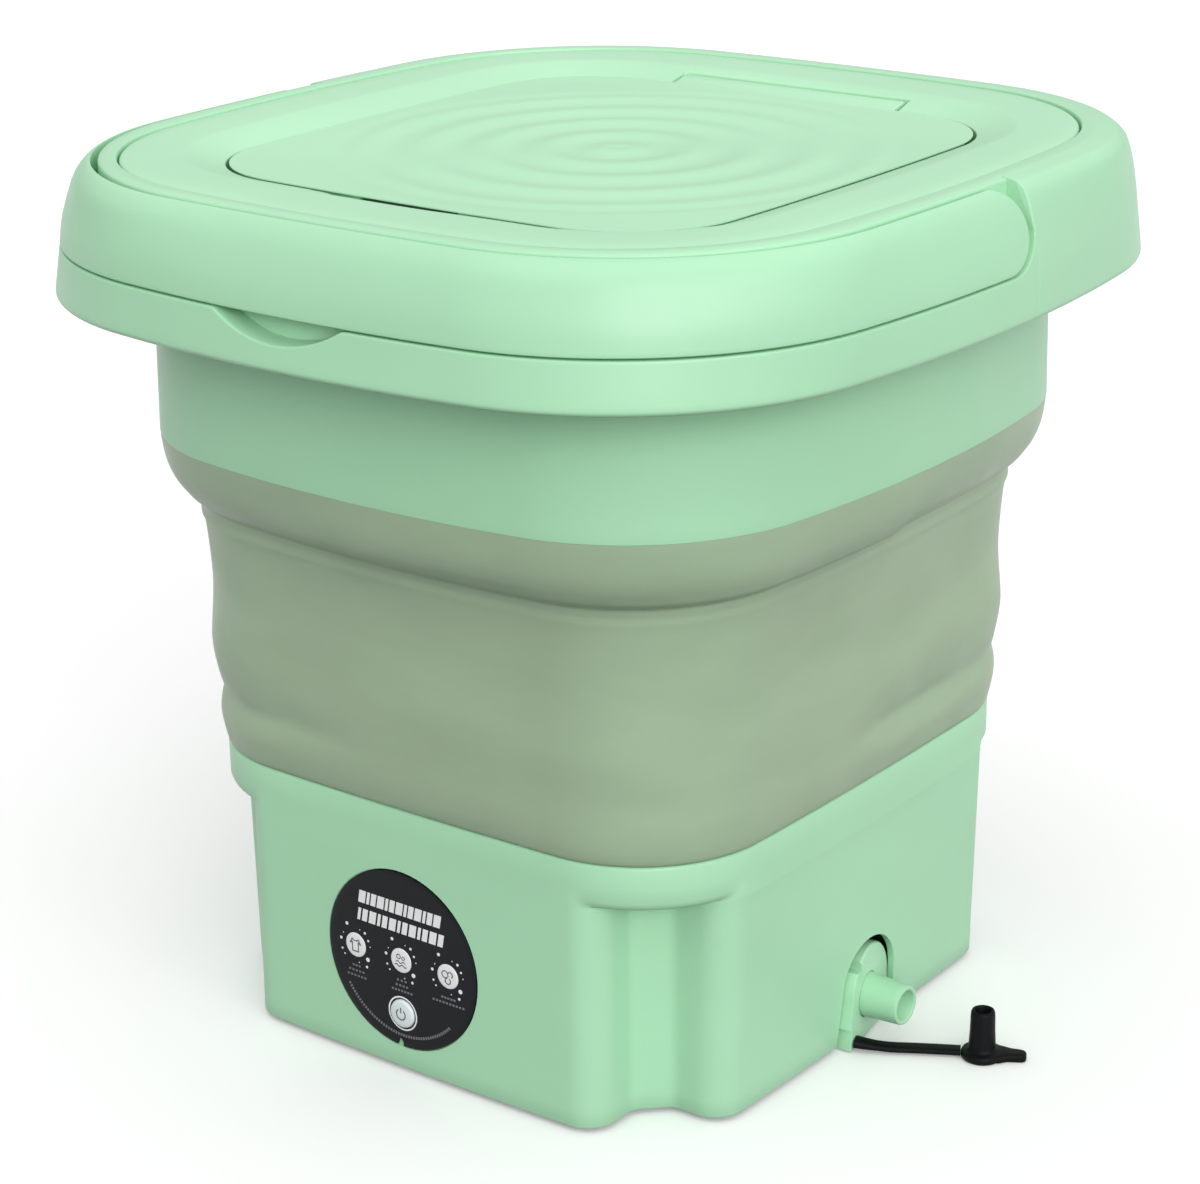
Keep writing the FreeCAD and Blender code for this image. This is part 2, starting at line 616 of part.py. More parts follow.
def rim_frame():
    body = rim_outer()
    cavity = profile_loft([(SKIRT_BOTTOM_Z - 1,) + inset(SKIRT_EDGE, 3.6), (269.5,) + inset(SKIRT_EDGE, 4.2)])
    pad = block(-33.0, 33.0, -170.0, -148.0, 261.5, 271.0)
    body = body.cut(cavity.cut(pad))
    slot = handle_zone(HANDLE_END_R + SLOT_FLOOR_GAP, True).cut(handle_core(HANDLE_CORE_LOW, HANDLE_CORE_TOP))
    cutters = [prism(RIM_HOLE, 262.0, 301.0), prism(LID_SEAM, LID_SEAT_Z, 301.0), slot, scoop(-172.0, -151.0)]
    cutters += [rod(SCREW_HOLE_R, 12.0, x, y, 268.0) for x, y in RIM_SCREWS]
    for side in (1, -1):
        cutters.append(rod(PIVOT_R + RUNNING_GAP, 9.0, side * 140.0 - 4.5, 0.0, HANDLE_PIVOT_Z, X_DIR))
    return cut_all(body, cutters)


def upper_shell():
    wall = loft([plain_wire(UPPER_SEAM, UPPER_SEAM_Z), plain_wire(SHELL_TOP, SHELL_TOP_Z)])
    wall = wall.cut(loft([plain_wire(inset(UPPER_SEAM, WALL), UPPER_SEAM_Z - 1),
                          plain_wire(inset(SHELL_TOP, WALL), SHELL_TOP_Z - 3.0)]))
    wall = wall.cut(prism(RIM_HOLE, 260.0, SHELL_TOP_Z + 1))
    holes = [rod(SCREW_HOLE_R, 8.0, x, y, 264.0) for x, y in RIM_SCREWS]
    return cut_all(wall, holes)


def lid_frame():
    crown = [
        (LID_SEAT_Z + 0.1,) + inset(LID_SEAM, 0.5),
        (297.4,) + inset(LID_SEAM, 0.5),
        (298.7,) + inset(LID_SEAM, 1.8),
        (299.2,) + inset(LID_SEAM, 6.0),
        (299.0, 118.0, 124.6, 10.5, 59.0),
    ]
    body = profile_loft(crown)
    bevel = loft([plain_wire((DOOR_SEAM[0] + 1, DOOR_SEAM[1] + 1, 3.5, 40.0), DOOR_TOP_Z),
                  plain_wire((118.0, 124.6, 10.5, 59.0), 299.3)])
    void = prism(inset(LID_SEAM, 3.5), 284.0, 294.0).cut(prism(inset(DOOR_SEAM, -3.2), 283.0, 295.0))
    ends = [block(s * 52.0 - 4.0, s * 52.0 + 4.0, 100.0, 116.0, 284.6, 297.0) for s in (1, -1)]
    body = body.cut(void)
    body = fuse_all([body] + [end.common(profile_loft(crown)) for end in ends])
    cutters = [
        bevel,
        prism(DOOR_SEAM, DOOR_SEAT_Z, 301.0),
        prism(inset(DOOR_SEAM, 6.0), 283.0, 301.0),
        block(-HINGE_HALF - 0.4, HINGE_HALF + 0.4, 100.0, HINGE_SLOT_Y, DOOR_SEAT_Z, 301.0),
        block(-23.0, 23.0, -110.0, -100.0, 291.0, 301.0),
        rod(HINGE_PIN_R, 110.0, -55.0, HINGE_Y, HINGE_Z, X_DIR),
    ]
    return cut_all(body, cutters)


def door_panel():
    plate = prism(inset(DOOR_SEAM, 0.6), DOOR_SEAT_Z + 1.1, DOOR_TOP_Z)
    hollow = prism(inset(DOOR_SEAM, 4.0), DOOR_SEAT_Z, DOOR_TOP_Z - 2.4)
    ripples = [Part.makeTorus(radius, 1.1, Vec(RIPPLE_X, 0, DOOR_TOP_Z - 0.9)) for radius in RIPPLES]
    half = HINGE_HALF - 1.0
    barrel = rod(HINGE_BARREL_R, 2 * half, -half, HINGE_Y, HINGE_Z, X_DIR)
    tongue = block(-half, half, 99.0, HINGE_Y, HINGE_Z - HINGE_BARREL_R, DOOR_TOP_Z)
    plate = plate.cut(hollow)
    plate = fuse_all([plate, barrel, tongue] + ripples)
    return plate.cut(rod(HINGE_PIN_R + RUNNING_GAP, 110.0, -55.0, HINGE_Y, HINGE_Z, X_DIR))


def handle():
    rows = [(LEDGE_Z - 1,) + RIM_PROFILE[0][1:]] + RIM_PROFILE[1:] + [(299.0,) + inset(HANDLE_INNER, 0.5)]
    outside = profile_loft(rows)
    hollow_rows = [(LEDGE_Z - 1,) + inset(RIM_PROFILE[0][1:], 3.0), (291.0,) + inset(RIM_PROFILE[2][1:], 3.4)]
    hollow = profile_loft(hollow_rows).cut(handle_core(inset(HANDLE_INNER, -2.6), inset(HANDLE_INNER, -2.6)))
    hollow = hollow.common(block(-180.0, 180.0, -190.0, -16.0, 262.0, 310.0))
    grip = outside.common(handle_zone(HANDLE_END_R, False))
    grip = grip.cut(handle_core(HANDLE_INNER, HANDLE_INNER)).cut(hollow)
    pins = [rod(PIVOT_R, 10.0, side * 143.5 - 5.0, 0.0, HANDLE_PIVOT_Z, X_DIR) for side in (1, -1)]
    return cut_all(grip, pins)


def handle_pivots():
    return [rod(PIVOT_R, 9.6, side * 141.6 - 4.8, 0.0, HANDLE_PIVOT_Z, X_DIR) for side in (1, -1)]


# ---------------------------------------------------------------- build

NODES = {
    "base_housing": base_housing,
    "bottom_cover": bottom_cover,
    "rubber_feet": lambda: [rod(9.0, COVER_LOW, x, y, 0.0) for x, y in four(60.0, 62.0)],
    "base_screws": lambda: [screw(x, y, COVER_LOW + 1.6, 16.0) for x, y in four(POST_X, POST_Y)],
    "wash_tub": wash_tub,
    "lower_clamp_ring": lambda: band(LOWER_SEAM, 5.25, 8.25, 86.0, 97.0),
    "bellows": bellows,
    "control_panel": control_panel,
    "indicator_lenses": indicator_lenses,
    "power_button": power_button,
    "control_board": control_board,
    "board_screws": board_screws,
    "dc_socket": dc_socket,
    "motor": motor,
    "gearbox_housing": gearbox_housing,
    "motor_bracket": motor_bracket,
    "motor_screws": lambda: [screw(x, y, 52.1, 6.0, 2.8) for x, y in four(28.0, 28.0)],
    "bearing_bush": lambda: tube(7.0, SHAFT_R + RUNNING_GAP, 6.0, 0, 0, 54.7),
    "shaft_seal": lambda: tube(9.0, SHAFT_R + RUNNING_GAP, 2.8, 0, 0, 60.8),
    "drive_shaft": drive_shaft,
    "pulsator": pulsator,
    "pulsator_screw": pulsator_screw,
    "drain_gasket": lambda: tube(8.6, ELBOW_BORE_R, 1.9, PORT_X, SPOUT_Y, 54.1),
    "drain_elbow": drain_elbow,
    "drain_plate": drain_plate,
    "drain_spout": drain_spout,
    "drain_strap": drain_strap,
    "drain_plug": drain_plug,
    "upper_shell": upper_shell,
    "upper_clamp_ring": lambda: band(UPPER_SEAM, 5.25, 8.25, UPPER_SEAM_Z - 3.0, UPPER_SEAM_Z + 10.0),
    "rim_frame": rim_frame,
    "rim_screws": lambda: [screw(x, y, 266.4, 11.0) for x, y in RIM_SCREWS],
    "lid_frame": lid_frame,
    "lid_gasket": lambda: band(DOOR_SEAM, 1.5, 5.0, DOOR_SEAT_Z, DOOR_SEAT_Z + 1.0),
    "hinge_pin": lambda: rod(HINGE_PIN_R, 108.0, -54.0, HINGE_Y, HINGE_Z, X_DIR),
    "door_panel": door_panel,
    "handle": handle,
    "handle_pivots": handle_pivots,
}

for node_name, make_node in NODES.items():
    export(node_name, make_node())
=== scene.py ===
import json
import math
from functools import lru_cache

import bmesh
import bpy
import numpy as np
from mathutils import Matrix, Vector


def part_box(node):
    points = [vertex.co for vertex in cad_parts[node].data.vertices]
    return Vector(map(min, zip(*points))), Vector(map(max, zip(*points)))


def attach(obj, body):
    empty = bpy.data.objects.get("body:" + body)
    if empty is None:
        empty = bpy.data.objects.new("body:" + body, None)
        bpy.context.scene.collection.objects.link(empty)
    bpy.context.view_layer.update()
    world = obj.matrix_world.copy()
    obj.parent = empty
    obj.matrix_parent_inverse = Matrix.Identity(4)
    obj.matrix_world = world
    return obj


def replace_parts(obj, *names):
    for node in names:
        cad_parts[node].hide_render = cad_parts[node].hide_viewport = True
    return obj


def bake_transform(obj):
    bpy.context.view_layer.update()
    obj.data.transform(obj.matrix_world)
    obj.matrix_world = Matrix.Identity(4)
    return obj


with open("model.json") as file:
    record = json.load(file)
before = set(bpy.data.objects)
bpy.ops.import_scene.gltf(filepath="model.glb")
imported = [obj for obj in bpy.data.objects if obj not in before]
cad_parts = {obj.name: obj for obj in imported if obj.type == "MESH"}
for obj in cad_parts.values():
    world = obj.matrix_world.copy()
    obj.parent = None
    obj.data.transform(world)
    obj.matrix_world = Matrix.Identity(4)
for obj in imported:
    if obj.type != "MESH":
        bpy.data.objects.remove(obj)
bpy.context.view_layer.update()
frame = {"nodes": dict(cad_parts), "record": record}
MM = 0.001


def link(name, data):
    """New object in the scene's own collection."""
    item = bpy.data.objects.new(name, data)
    bpy.context.scene.collection.objects.link(item)
    return item


def turns(count):
    """Angles of even steps once round."""
    return [2 * math.pi * i / count for i in range(count)]


# ---- camera

def add_camera():
    """Camera at 37 degrees round from the front and 20 degrees up, about one metre away."""
    azimuth, elevation, roll = (math.radians(angle) for angle in (37.369, 19.897, -0.716))
    back = Vector((math.sin(azimuth) * math.cos(elevation), -math.cos(azimuth) * math.cos(elevation),
                   math.sin(elevation)))
    right = Vector((math.cos(azimuth), math.sin(azimuth), 0))
    up = back.cross(right)
    across = right * math.cos(roll) + up * math.sin(roll)
    upright = up * math.cos(roll) - right * math.sin(roll)
    place = Vector((0.61433, -0.81089, 0.50736))
    camera = link("camera", bpy.data.cameras.new("camera"))
    camera.data.lens = 93.70
    camera.data.sensor_width = 36.0
    camera.data.sensor_fit = "HORIZONTAL"
    camera.data.clip_start = 0.05
    camera.data.clip_end = 60.0
    turn = Matrix((across, upright, back)).transposed()
    camera.matrix_world = Matrix.Translation(place) @ turn.to_4x4()
    bpy.context.scene.camera = camera


add_camera()


# ---- materials

def new_material(name):
    material = bpy.data.materials.new(name)
    material.use_nodes = True
    tree = material.node_tree
    tree.nodes.clear()
    output = tree.nodes.new("ShaderNodeOutputMaterial")
    shader = tree.nodes.new("ShaderNodeBsdfPrincipled")
    tree.links.new(shader.outputs["BSDF"], output.inputs["Surface"])
    return material, tree, shader


def add_node(tree, kind, values, sources):
    """Shader node with some inputs set to values and others linked to their sources."""
    node = tree.nodes.new("ShaderNode" + kind)
    for key, value in values.items():
        node.inputs[key].default_value = value
    for key, source in sources.items():
        tree.links.new(source, node.inputs[key])
    return node


def noise(tree, scale, detail=3.0, stretch=(1.0, 1.0, 1.0)):
    """Noise texture in the object's own coordinates; scale counts per metre."""
    place = add_node(tree, "TexCoord", {}, {}).outputs["Object"]
    mapped = add_node(tree, "Mapping", {"Scale": stretch}, {"Vector": place}).outputs["Vector"]
    return add_node(tree, "TexNoise", {"Scale": scale, "Detail": detail}, {"Vector": mapped}).outputs["Fac"]


def remap(tree, value, low, high, start=0.3, end=0.7):
    limits = {"From Min": start, "From Max": end, "To Min": low, "To Max": high}
    return add_node(tree, "MapRange", limits, {"Value": value}).outputs["Result"]


def mix_colour(tree, share, first, second):
    node = tree.nodes.new("ShaderNodeMix")
    node.data_type = "RGBA"
    tree.links.new(share, node.inputs["Factor"])
    node.inputs[6].default_value = (*first, 1.0)
    node.inputs[7].default_value = (*second, 1.0)
    return node.outputs[2]


def add_bump(tree, shader, layers):
    """Bump from (height value, distance in metres, strength) layers, one on top of the other."""
    last = None
    for height, distance, strength in layers:
        sources = {"Height": height} if last is None else {"Height": height, "Normal": last}
        last = add_node(tree, "Bump", {"Distance": distance, "Strength": strength}, sources).outputs["Normal"]
    tree.links.new(last, shader.inputs["Normal"])


def two_toned(name, colour, vary, mottle, gloss, bumps, level):
    """Material with mottled tones of its colour, uneven gloss and bumps.

    A texture is the scale, detail and stretch for noise(). gloss is (texture, lowest, highest roughness) and
    each bump is (texture, distance, strength).
    """
    material, tree, shader = new_material(name)
    dark, light = ([min(1.0, channel * (1 + side * vary)) for channel in colour] for side in (-1, 1))
    tree.links.new(mix_colour(tree, remap(tree, noise(tree, *mottle), 0.0, 1.0), dark, light),
                   shader.inputs["Base Color"])
    tree.links.new(remap(tree, noise(tree, *gloss[0]), gloss[1], gloss[2]), shader.inputs["Roughness"])
    add_bump(tree, shader, [(noise(tree, *texture), *amounts) for texture, *amounts in bumps])
    shader.inputs["Specular IOR Level"].default_value = level
    return material, shader


def moulded_plastic(name, colour, rough=0.38, vary=0.03, level=0.5):
    """Injection-moulded plastic: faint flow mottling, a fine eroded grain and slightly uneven gloss."""
    return two_toned(
        name, colour, vary, (9.0, 4.0, (1.0, 1.0, 2.2)), ((60.0, 5.0), rough - 0.03, rough + 0.04),
        [((28.0, 2.0), 0.0004, 0.10), ((2600.0, 2.0), 0.00004, 0.45)], level)[0]


def soft_rubber(name, colour, rough=0.45, vary=0.06, cloudy=0.0, level=0.4):
    """Elastomer: cloudy colour, matte bloom in patches and a fine pebbled skin."""
    material, shader = two_toned(
        name, colour, vary, (16.0, 4.0, (1.0, 1.0, 3.0)), ((45.0, 6.0), rough - 0.06, rough + 0.08),
        [((70.0, 2.0), 0.0005, 0.12), ((1900.0, 3.0), 0.00008, 0.5)], level)
    if cloudy > 0:
        shader.inputs["Subsurface Weight"].default_value = cloudy
        shader.inputs["Subsurface Radius"].default_value = (0.7, 1.0, 0.6)
        shader.inputs["Subsurface Scale"].default_value = 0.003
    return material


def turned_metal(name, colour, rough=0.3):
    """Machined metal with fine tool lines and cloudy handling marks."""
    material, tree, shader = new_material(name)
    dark = [channel * 0.82 for channel in colour]
    marks = noise(tree, 80.0, 5.0)
    tree.links.new(mix_colour(tree, remap(tree, marks, 0.0, 1.0), dark, colour), shader.inputs["Base Color"])
    tree.links.new(remap(tree, marks, rough - 0.06, rough + 0.1), shader.inputs["Roughness"])
    lines = noise(tree, 900.0, 2.0, (1.0, 1.0, 14.0))
    add_bump(tree, shader, [(lines, 0.00003, 0.4)])
    shader.inputs["Metallic"].default_value = 1.0
    return material


MINT = (0.405, 0.735, 0.475)
MATERIALS = {
    "mint_plastic": moulded_plastic("mint_plastic", MINT),
    "lid_plastic": moulded_plastic("lid_plastic", (0.43, 0.765, 0.50), rough=0.4),
    "bellows_rubber": soft_rubber(
        "bellows_rubber", (0.345, 0.468, 0.312), rough=0.40, cloudy=0.25, level=0.5),
    "panel_black": moulded_plastic("panel_black", (0.006, 0.006, 0.008), rough=0.34, vary=0.15, level=0.16),
    "lamp_white": moulded_plastic("lamp_white", (0.86, 0.89, 0.88), rough=0.25, vary=0.015),
    "button_white": moulded_plastic("button_white", (0.76, 0.84, 0.84), rough=0.35, vary=0.02),
    "black_rubber": soft_rubber("black_rubber", (0.004, 0.004, 0.005), rough=0.46, vary=0.2, level=0.12),
    "screw_steel": turned_metal("screw_steel", (0.62, 0.62, 0.64)),
    "motor_steel": turned_metal("motor_steel", (0.55, 0.56, 0.57), rough=0.4),
    "shaft_steel": turned_metal("shaft_steel", (0.68, 0.68, 0.70), rough=0.18),
    "bush_brass": turned_metal("bush_brass", (0.72, 0.52, 0.24)),
    "board_green": moulded_plastic("board_green", (0.02, 0.16, 0.06), rough=0.3, vary=0.2),
    "socket_black": moulded_plastic("socket_black", (0.02, 0.02, 0.021), rough=0.35, vary=0.1),
    "gearbox_plastic": moulded_plastic("gearbox_plastic", (0.60, 0.60, 0.57), rough=0.5),
    "seal_grey": soft_rubber("seal_grey", (0.20, 0.22, 0.20), rough=0.6),
    "graphic_white": moulded_plastic("graphic_white", (0.90, 0.92, 0.92), rough=0.5, vary=0.03),
    "graphic_grey": moulded_plastic("graphic_grey", (0.16, 0.16, 0.17), rough=0.5, vary=0.1),
    "graphic_ink": moulded_plastic("graphic_ink", (0.09, 0.11, 0.11), rough=0.5, vary=0.1),
}


# ---- outlines

# Outlines as (half X, half Y, side bulge, corner radius), and the heights they belong to, in millimetres.
FOOTPRINT = (105.5, 112.0, 3.0, 47.0)
LOWER_SEAM = (107.5, 111.6, 3.0, 47.0)
UPPER_SEAM = (128.5, 134.5, 19.0, 70.0)
SHELL_TOP = (127.5, 133.5, 18.5, 69.5)
SKIRT_EDGE = (155.0, 165.0, 23.5, 93.0)
RIM_HOLE = (118.0, 122.0, 17.0, 59.0)
LID_SEAM = (134.4, 141.8, 13.7, 77.0)
DOOR_SEAM = (98.0, 104.0, 3.2, 39.4)
RIM_ROWS = [
    (257.5,) + SKIRT_EDGE,
    (272.0, 154.2, 162.4, 21.5, 95.0),
    (280.0, 153.0, 160.8, 18.5, 95.0),
    (288.0, 150.6, 157.8, 14.5, 94.0),
    (294.0, 147.4, 154.0, 11.0, 92.0),
    (298.0, 143.4, 149.6, 9.0, 90.0),
]
# Behind the handle the rim's side face stands straighter and turns into the top over a tighter shoulder.
BACK_ROWS = RIM_ROWS[:3] + [
    (288.0, 151.2, 158.6, 14.5, 94.0),
    (293.0, 149.6, 156.9, 12.2, 93.0),
    (296.2, 148.0, 155.1, 10.8, 92.0),
    (298.0, 145.6, 152.4, 10.2, 91.0),
]
CROWN = (299.5, 139.0, 145.4, 10.0, 86.0)
CORE_LOW = (272.0, 142.2, 147.9, 9.6, 90.0)
CORE_TOP = (312.0, 141.6, 147.6, 9.0, 89.4)
# The handle is fuller towards its inner edge, which lies level with the rim.
HANDLE_ROWS = RIM_ROWS[:4] + [
    (294.0, 148.0, 154.6, 11.0, 92.0),
    (297.2, 145.9, 151.6, 9.4, 91.0),
    (298.8, 144.3, 149.2, 8.4, 90.2),
]
HANDLE_INNER = (144.0, 148.8, 8.0, 90.0)
LOWER_SEAM_Z = 96.0
UPPER_SEAM_Z = 208.0
SHELL_TOP_Z = 269.4
PIVOT_Z = 285.9
LEDGE_Z = 272.0
LID_LEDGE_Z = 284.6
CEILING_Z = 269.6
SLOT_R = 13.9
SLOT_BACK = 2.6
HANDLE_R = 13.3


def polar(u, v, radius, angle):
    """Point at a radius and an angle from the place (u, v)."""
    return u + radius * math.cos(angle), v + radius * math.sin(angle)


def inset(outline, depth):
    half_x, half_y, bulge, radius = outline
    return half_x - depth, half_y - depth, bulge, radius - depth


def row_at(z, outline, depth=0.0):
    """Row (z, outline) at a height, with the outline set in by a depth."""
    return (z,) + inset(outline, depth)


def blend_rows(first, second, share):
    return tuple(a + (b - a) * share for a, b in zip(first, second))


def smooth_share(value, start, end):
    share = min(max((value - start) / (end - start), 0.0), 1.0)
    return share * share * (3 - 2 * share)


@lru_cache(maxsize=None)
def arcs(outline):
    """Side circles, corner circle and tangent points of an outline."""
    half_x, half_y, bulge, radius = outline
    radius_x = (half_y ** 2 + bulge ** 2) / (2 * bulge)
    radius_y = (half_x ** 2 + bulge ** 2) / (2 * bulge)
    x0 = half_x - radius_x
    y0 = half_y - radius_y
    reach_x = radius_x - radius
    reach_y = radius_y - radius
    span = math.hypot(x0, y0)
    along = (reach_x ** 2 - reach_y ** 2 + span ** 2) / (2 * span)
    off = math.sqrt(reach_x ** 2 - along ** 2)
    ex, ey = -x0 / span, y0 / span
    cx = x0 + ex * along - ey * off
    cy = ey * along + ex * off
    angle_x = math.atan2(cy, cx - x0)
    angle_y = math.atan2(cy - y0, cx)
    tangent_y = radius_x * math.sin(angle_x)
    tangent_x = radius_y * math.cos(angle_y)
    return x0, radius_x, y0, radius_y, cx, cy, radius, tangent_x, tangent_y, angle_x, angle_y


def point(outline, station):
    """Point of an outline at a station: on an X side, on a Y side or on a corner."""
    kind, sign_x, sign_y, stop, share = station
    x0, radius_x, y0, radius_y, cx, cy, radius, tangent_x, tangent_y, angle_x, angle_y = arcs(outline)
    if kind == "x":
        y = stop + sign_y * (tangent_y - abs(stop)) * share
        return sign_x * (x0 + math.sqrt(radius_x ** 2 - y * y)), y
    if kind == "y":
        x = stop + sign_x * (tangent_x - abs(stop)) * share
        return x, sign_y * (y0 + math.sqrt(radius_y ** 2 - x * x))
    angle = angle_x + (angle_y - angle_x) * share
    return sign_x * (cx + radius * math.cos(angle)), sign_y * (cy + radius * math.sin(angle))


def side_stops(stops, steps):
    """(direction, stop, share) along one side: steps to the first stop, the stops, steps after the last."""
    before = [(-1, stops[0], 1 - i / steps) for i in range(steps)]
    after = [(1, stops[-1], (i + 1) / steps) for i in range(steps)]
    return before + [(1, stop, 0.0) for stop in stops] + after


def stations(x_stops, y_stops, steps=7, corner=26):
    """Stations once round an outline, counter-clockwise, with fixed stops on the X sides and the Y sides."""
    x_side = side_stops(sorted(x_stops), steps)
    y_side = side_stops(sorted(y_stops), steps)
    turn = [i / corner for i in range(1, corner)]
    found = [("x", 1, way, stop, share) for way, stop, share in x_side]
    found += [("c", 1, 1, 0, share) for share in turn]
    found += [("y", way, 1, stop, share) for way, stop, share in reversed(y_side)]
    found += [("c", -1, 1, 0, share) for share in reversed(turn)]
    found += [("x", -1, way, stop, share) for way, stop, share in reversed(x_side)]
    found += [("c", -1, -1, 0, share) for share in turn]
    found += [("y", way, -1, stop, share) for way, stop, share in y_side]
    found += [("c", 1, -1, 0, share) for share in reversed(turn)]
    return found


def on_profile(rows, z):
    """Row (z, outline) at a height on a smooth curve through the rows."""
    heights = [row[0] for row in rows]
    i = min(max(int(np.searchsorted(heights, z)) - 1, 0), len(rows) - 2)
    span = heights[i + 1] - heights[i]
    t = (z - heights[i]) / span

    def slope(k):
        low = max(k - 1, 0)
        high = min(k + 1, len(rows) - 1)
        return [(b - a) / (heights[high] - heights[low]) for a, b in zip(rows[low][1:], rows[high][1:])]

    first, second = slope(i), slope(i + 1)
    values = []
    for a, b, ma, mb in zip(rows[i][1:], rows[i + 1][1:], first, second):
        values.append((2 * t ** 3 - 3 * t ** 2 + 1) * a + (t ** 3 - 2 * t ** 2 + t) * span * ma
                      + (3 * t ** 2 - 2 * t ** 3) * b + (t ** 3 - t ** 2) * span * mb)
    return (z,) + tuple(values)


def rounded(path, steps=3, closed=True):
    """Section path from (row, radius) corners, each corner turned into a small arc of steps + 1 rows."""
    rows = []
    for i, (row, radius) in enumerate(path):
        if radius <= 0:
            rows.append(row)
            continue
        before = path[i - 1][0] if i or closed else row
        after = path[(i + 1) % len(path)][0] if i + 1 < len(path) or closed else row
        ends = []
        for other in (before, after):
            gap = math.hypot(row[0] - other[0], row[1] - other[1])
            ends.append(blend_rows(row, other, min(radius / gap, 0.5)) if gap > 1e-6 else row)
        for k in range(steps + 1):
            u = k / steps
            rows.append(tuple((1 - u) ** 2 * a + 2 * u * (1 - u) * b + u * u * c
                              for a, b, c in zip(ends[0], row, ends[1])))
    return rows


# ---- mesh building

def make_piece(name, verts, faces, material, body, sharp=32.0, merge=0.004):
    """Mesh object from millimetre points, cleaned, smooth-shaded with sharp creases, riding on a body."""
    mesh = bpy.data.meshes.new(name)
    mesh.from_pydata([(x * MM, y * MM, z * MM) for x, y, z in verts], [], faces)
    clean(mesh, merge)
    piece = link(name, mesh)
    finish_piece(piece, material, body, sharp)
    return piece


def clean(mesh, merge=0.004):
    work = bmesh.new()
    work.from_mesh(mesh)
    bmesh.ops.remove_doubles(work, verts=work.verts, dist=merge * MM)
    bmesh.ops.dissolve_degenerate(work, edges=work.edges, dist=1e-7)
    bmesh.ops.recalc_face_normals(work, faces=work.faces)
    work.to_mesh(mesh)
    work.free()


def finish_piece(piece, material, body, sharp=32.0):
    mesh = piece.data
    mesh.materials.clear()
    mesh.materials.append(MATERIALS[material])
    mesh.shade_smooth()
    mesh.set_sharp_from_angle(angle=math.radians(sharp))
    if body:
        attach(piece, body)


def grid_faces(rows, columns, close_rows, close_columns):
    faces = []
    for r in range(rows if close_rows else rows - 1):
        for c in range(columns if close_columns else columns - 1):
            r2 = (r + 1) % rows
            c2 = (c + 1) % columns
            faces.append((r * columns + c, r * columns + c2, r2 * columns + c2, r2 * columns + c))
    return faces


def capped(rows, count, flip=False):
    """Faces of a grid that closes round its columns, with a face over each end."""
    first, last = range(count), range((rows - 1) * count, rows * count)
    ends = [tuple(reversed(first)), tuple(last)] if flip else [tuple(first), tuple(reversed(last))]
    return grid_faces(rows, count, False, True) + ends


def skin(name, places, section, material, body, close_section=True, close_loop=True, shift=None, sharp=32.0):
    """Piece swept round an outline: section(x, y, station) gives the (z, outline) rows of each place."""
    columns = []
    for station in places:
        x, y = point(SKIRT_EDGE, station)
        if station[0] == "x" and station[4] == 0.0:
            y = station[3]
        if station[0] == "y" and station[4] == 0.0:
            x = station[3]
        columns.append([point(tuple(row[1:]), station) + (row[0],) for row in section(x, y, station)])
    points = np.array(columns).transpose(1, 0, 2)
    if shift is not None:
        points = shift(points)
    rows, count = points.shape[:2]
    faces = grid_faces(rows, count, close_section, close_loop)
    return make_piece(name, points.reshape(-1, 3), faces, material, body, sharp)


def spin(name, profile, centre, axis, material, body, steps=48, sharp=32.0):
    """Turned piece: profile is (radius, distance along the axis) points, closed at radius 0."""
    axis = Vector(axis).normalized()
    side = axis.orthogonal().normalized()
    other = axis.cross(side)
    verts = []
    for radius, along in profile:
        for angle in turns(steps):
            outwards = side * math.cos(angle) + other * math.sin(angle)
            verts.append(Vector(centre) + axis * along + outwards * radius)
    faces = grid_faces(len(profile), steps, False, True)
    return make_piece(name, verts, faces, material, body, sharp)


# ---- rim

SLOT_STOPS = [SLOT_BACK + SLOT_R * math.sin(math.radians(a)) for a in range(9, 90, 9)]
SLOT_END = SLOT_BACK + SLOT_R
X_STOPS = ([-34, -24, -16.2, -15.8, -10, -5, 0, SLOT_BACK] + SLOT_STOPS
           + [SLOT_END - 0.1, SLOT_END, SLOT_END + 0.12, SLOT_END + 0.35, SLOT_END + 0.8, 20.5, 26, 34])
SCOOP_HALF = 25.5
SCOOP_DEEP = 7.4
SCOOP_CIRCLE = (SCOOP_HALF ** 2 + SCOOP_DEEP ** 2) / (2 * SCOOP_DEEP)
Y_STOPS = ([-36.0, -33.2, -33.0, -29.0] + [float(x) for x in np.linspace(-26.0, 26.0, 41)]
           + [29.0, 33.0, 33.2, 36.0])


def slot_floor(y):
    """Height of the handle slot's floor, or None where the rim is full height."""
    if y <= SLOT_BACK:
        return LEDGE_Z
    if y < SLOT_END - 0.05:
        return PIVOT_Z - math.sqrt(max(SLOT_R ** 2 - (y - SLOT_BACK) ** 2, 0.0))
    return None


def scoop_depth(x, y):
    if y > 0 or abs(x) >= SCOOP_HALF:
        return 0.0
    return math.sqrt(SCOOP_CIRCLE ** 2 - x * x) - SCOOP_CIRCLE + SCOOP_DEEP


def core_row(z):
    share = (z - CORE_LOW[0]) / (CORE_TOP[0] - CORE_LOW[0])
    return (z,) + blend_rows(CORE_LOW[1:], CORE_TOP[1:], share)


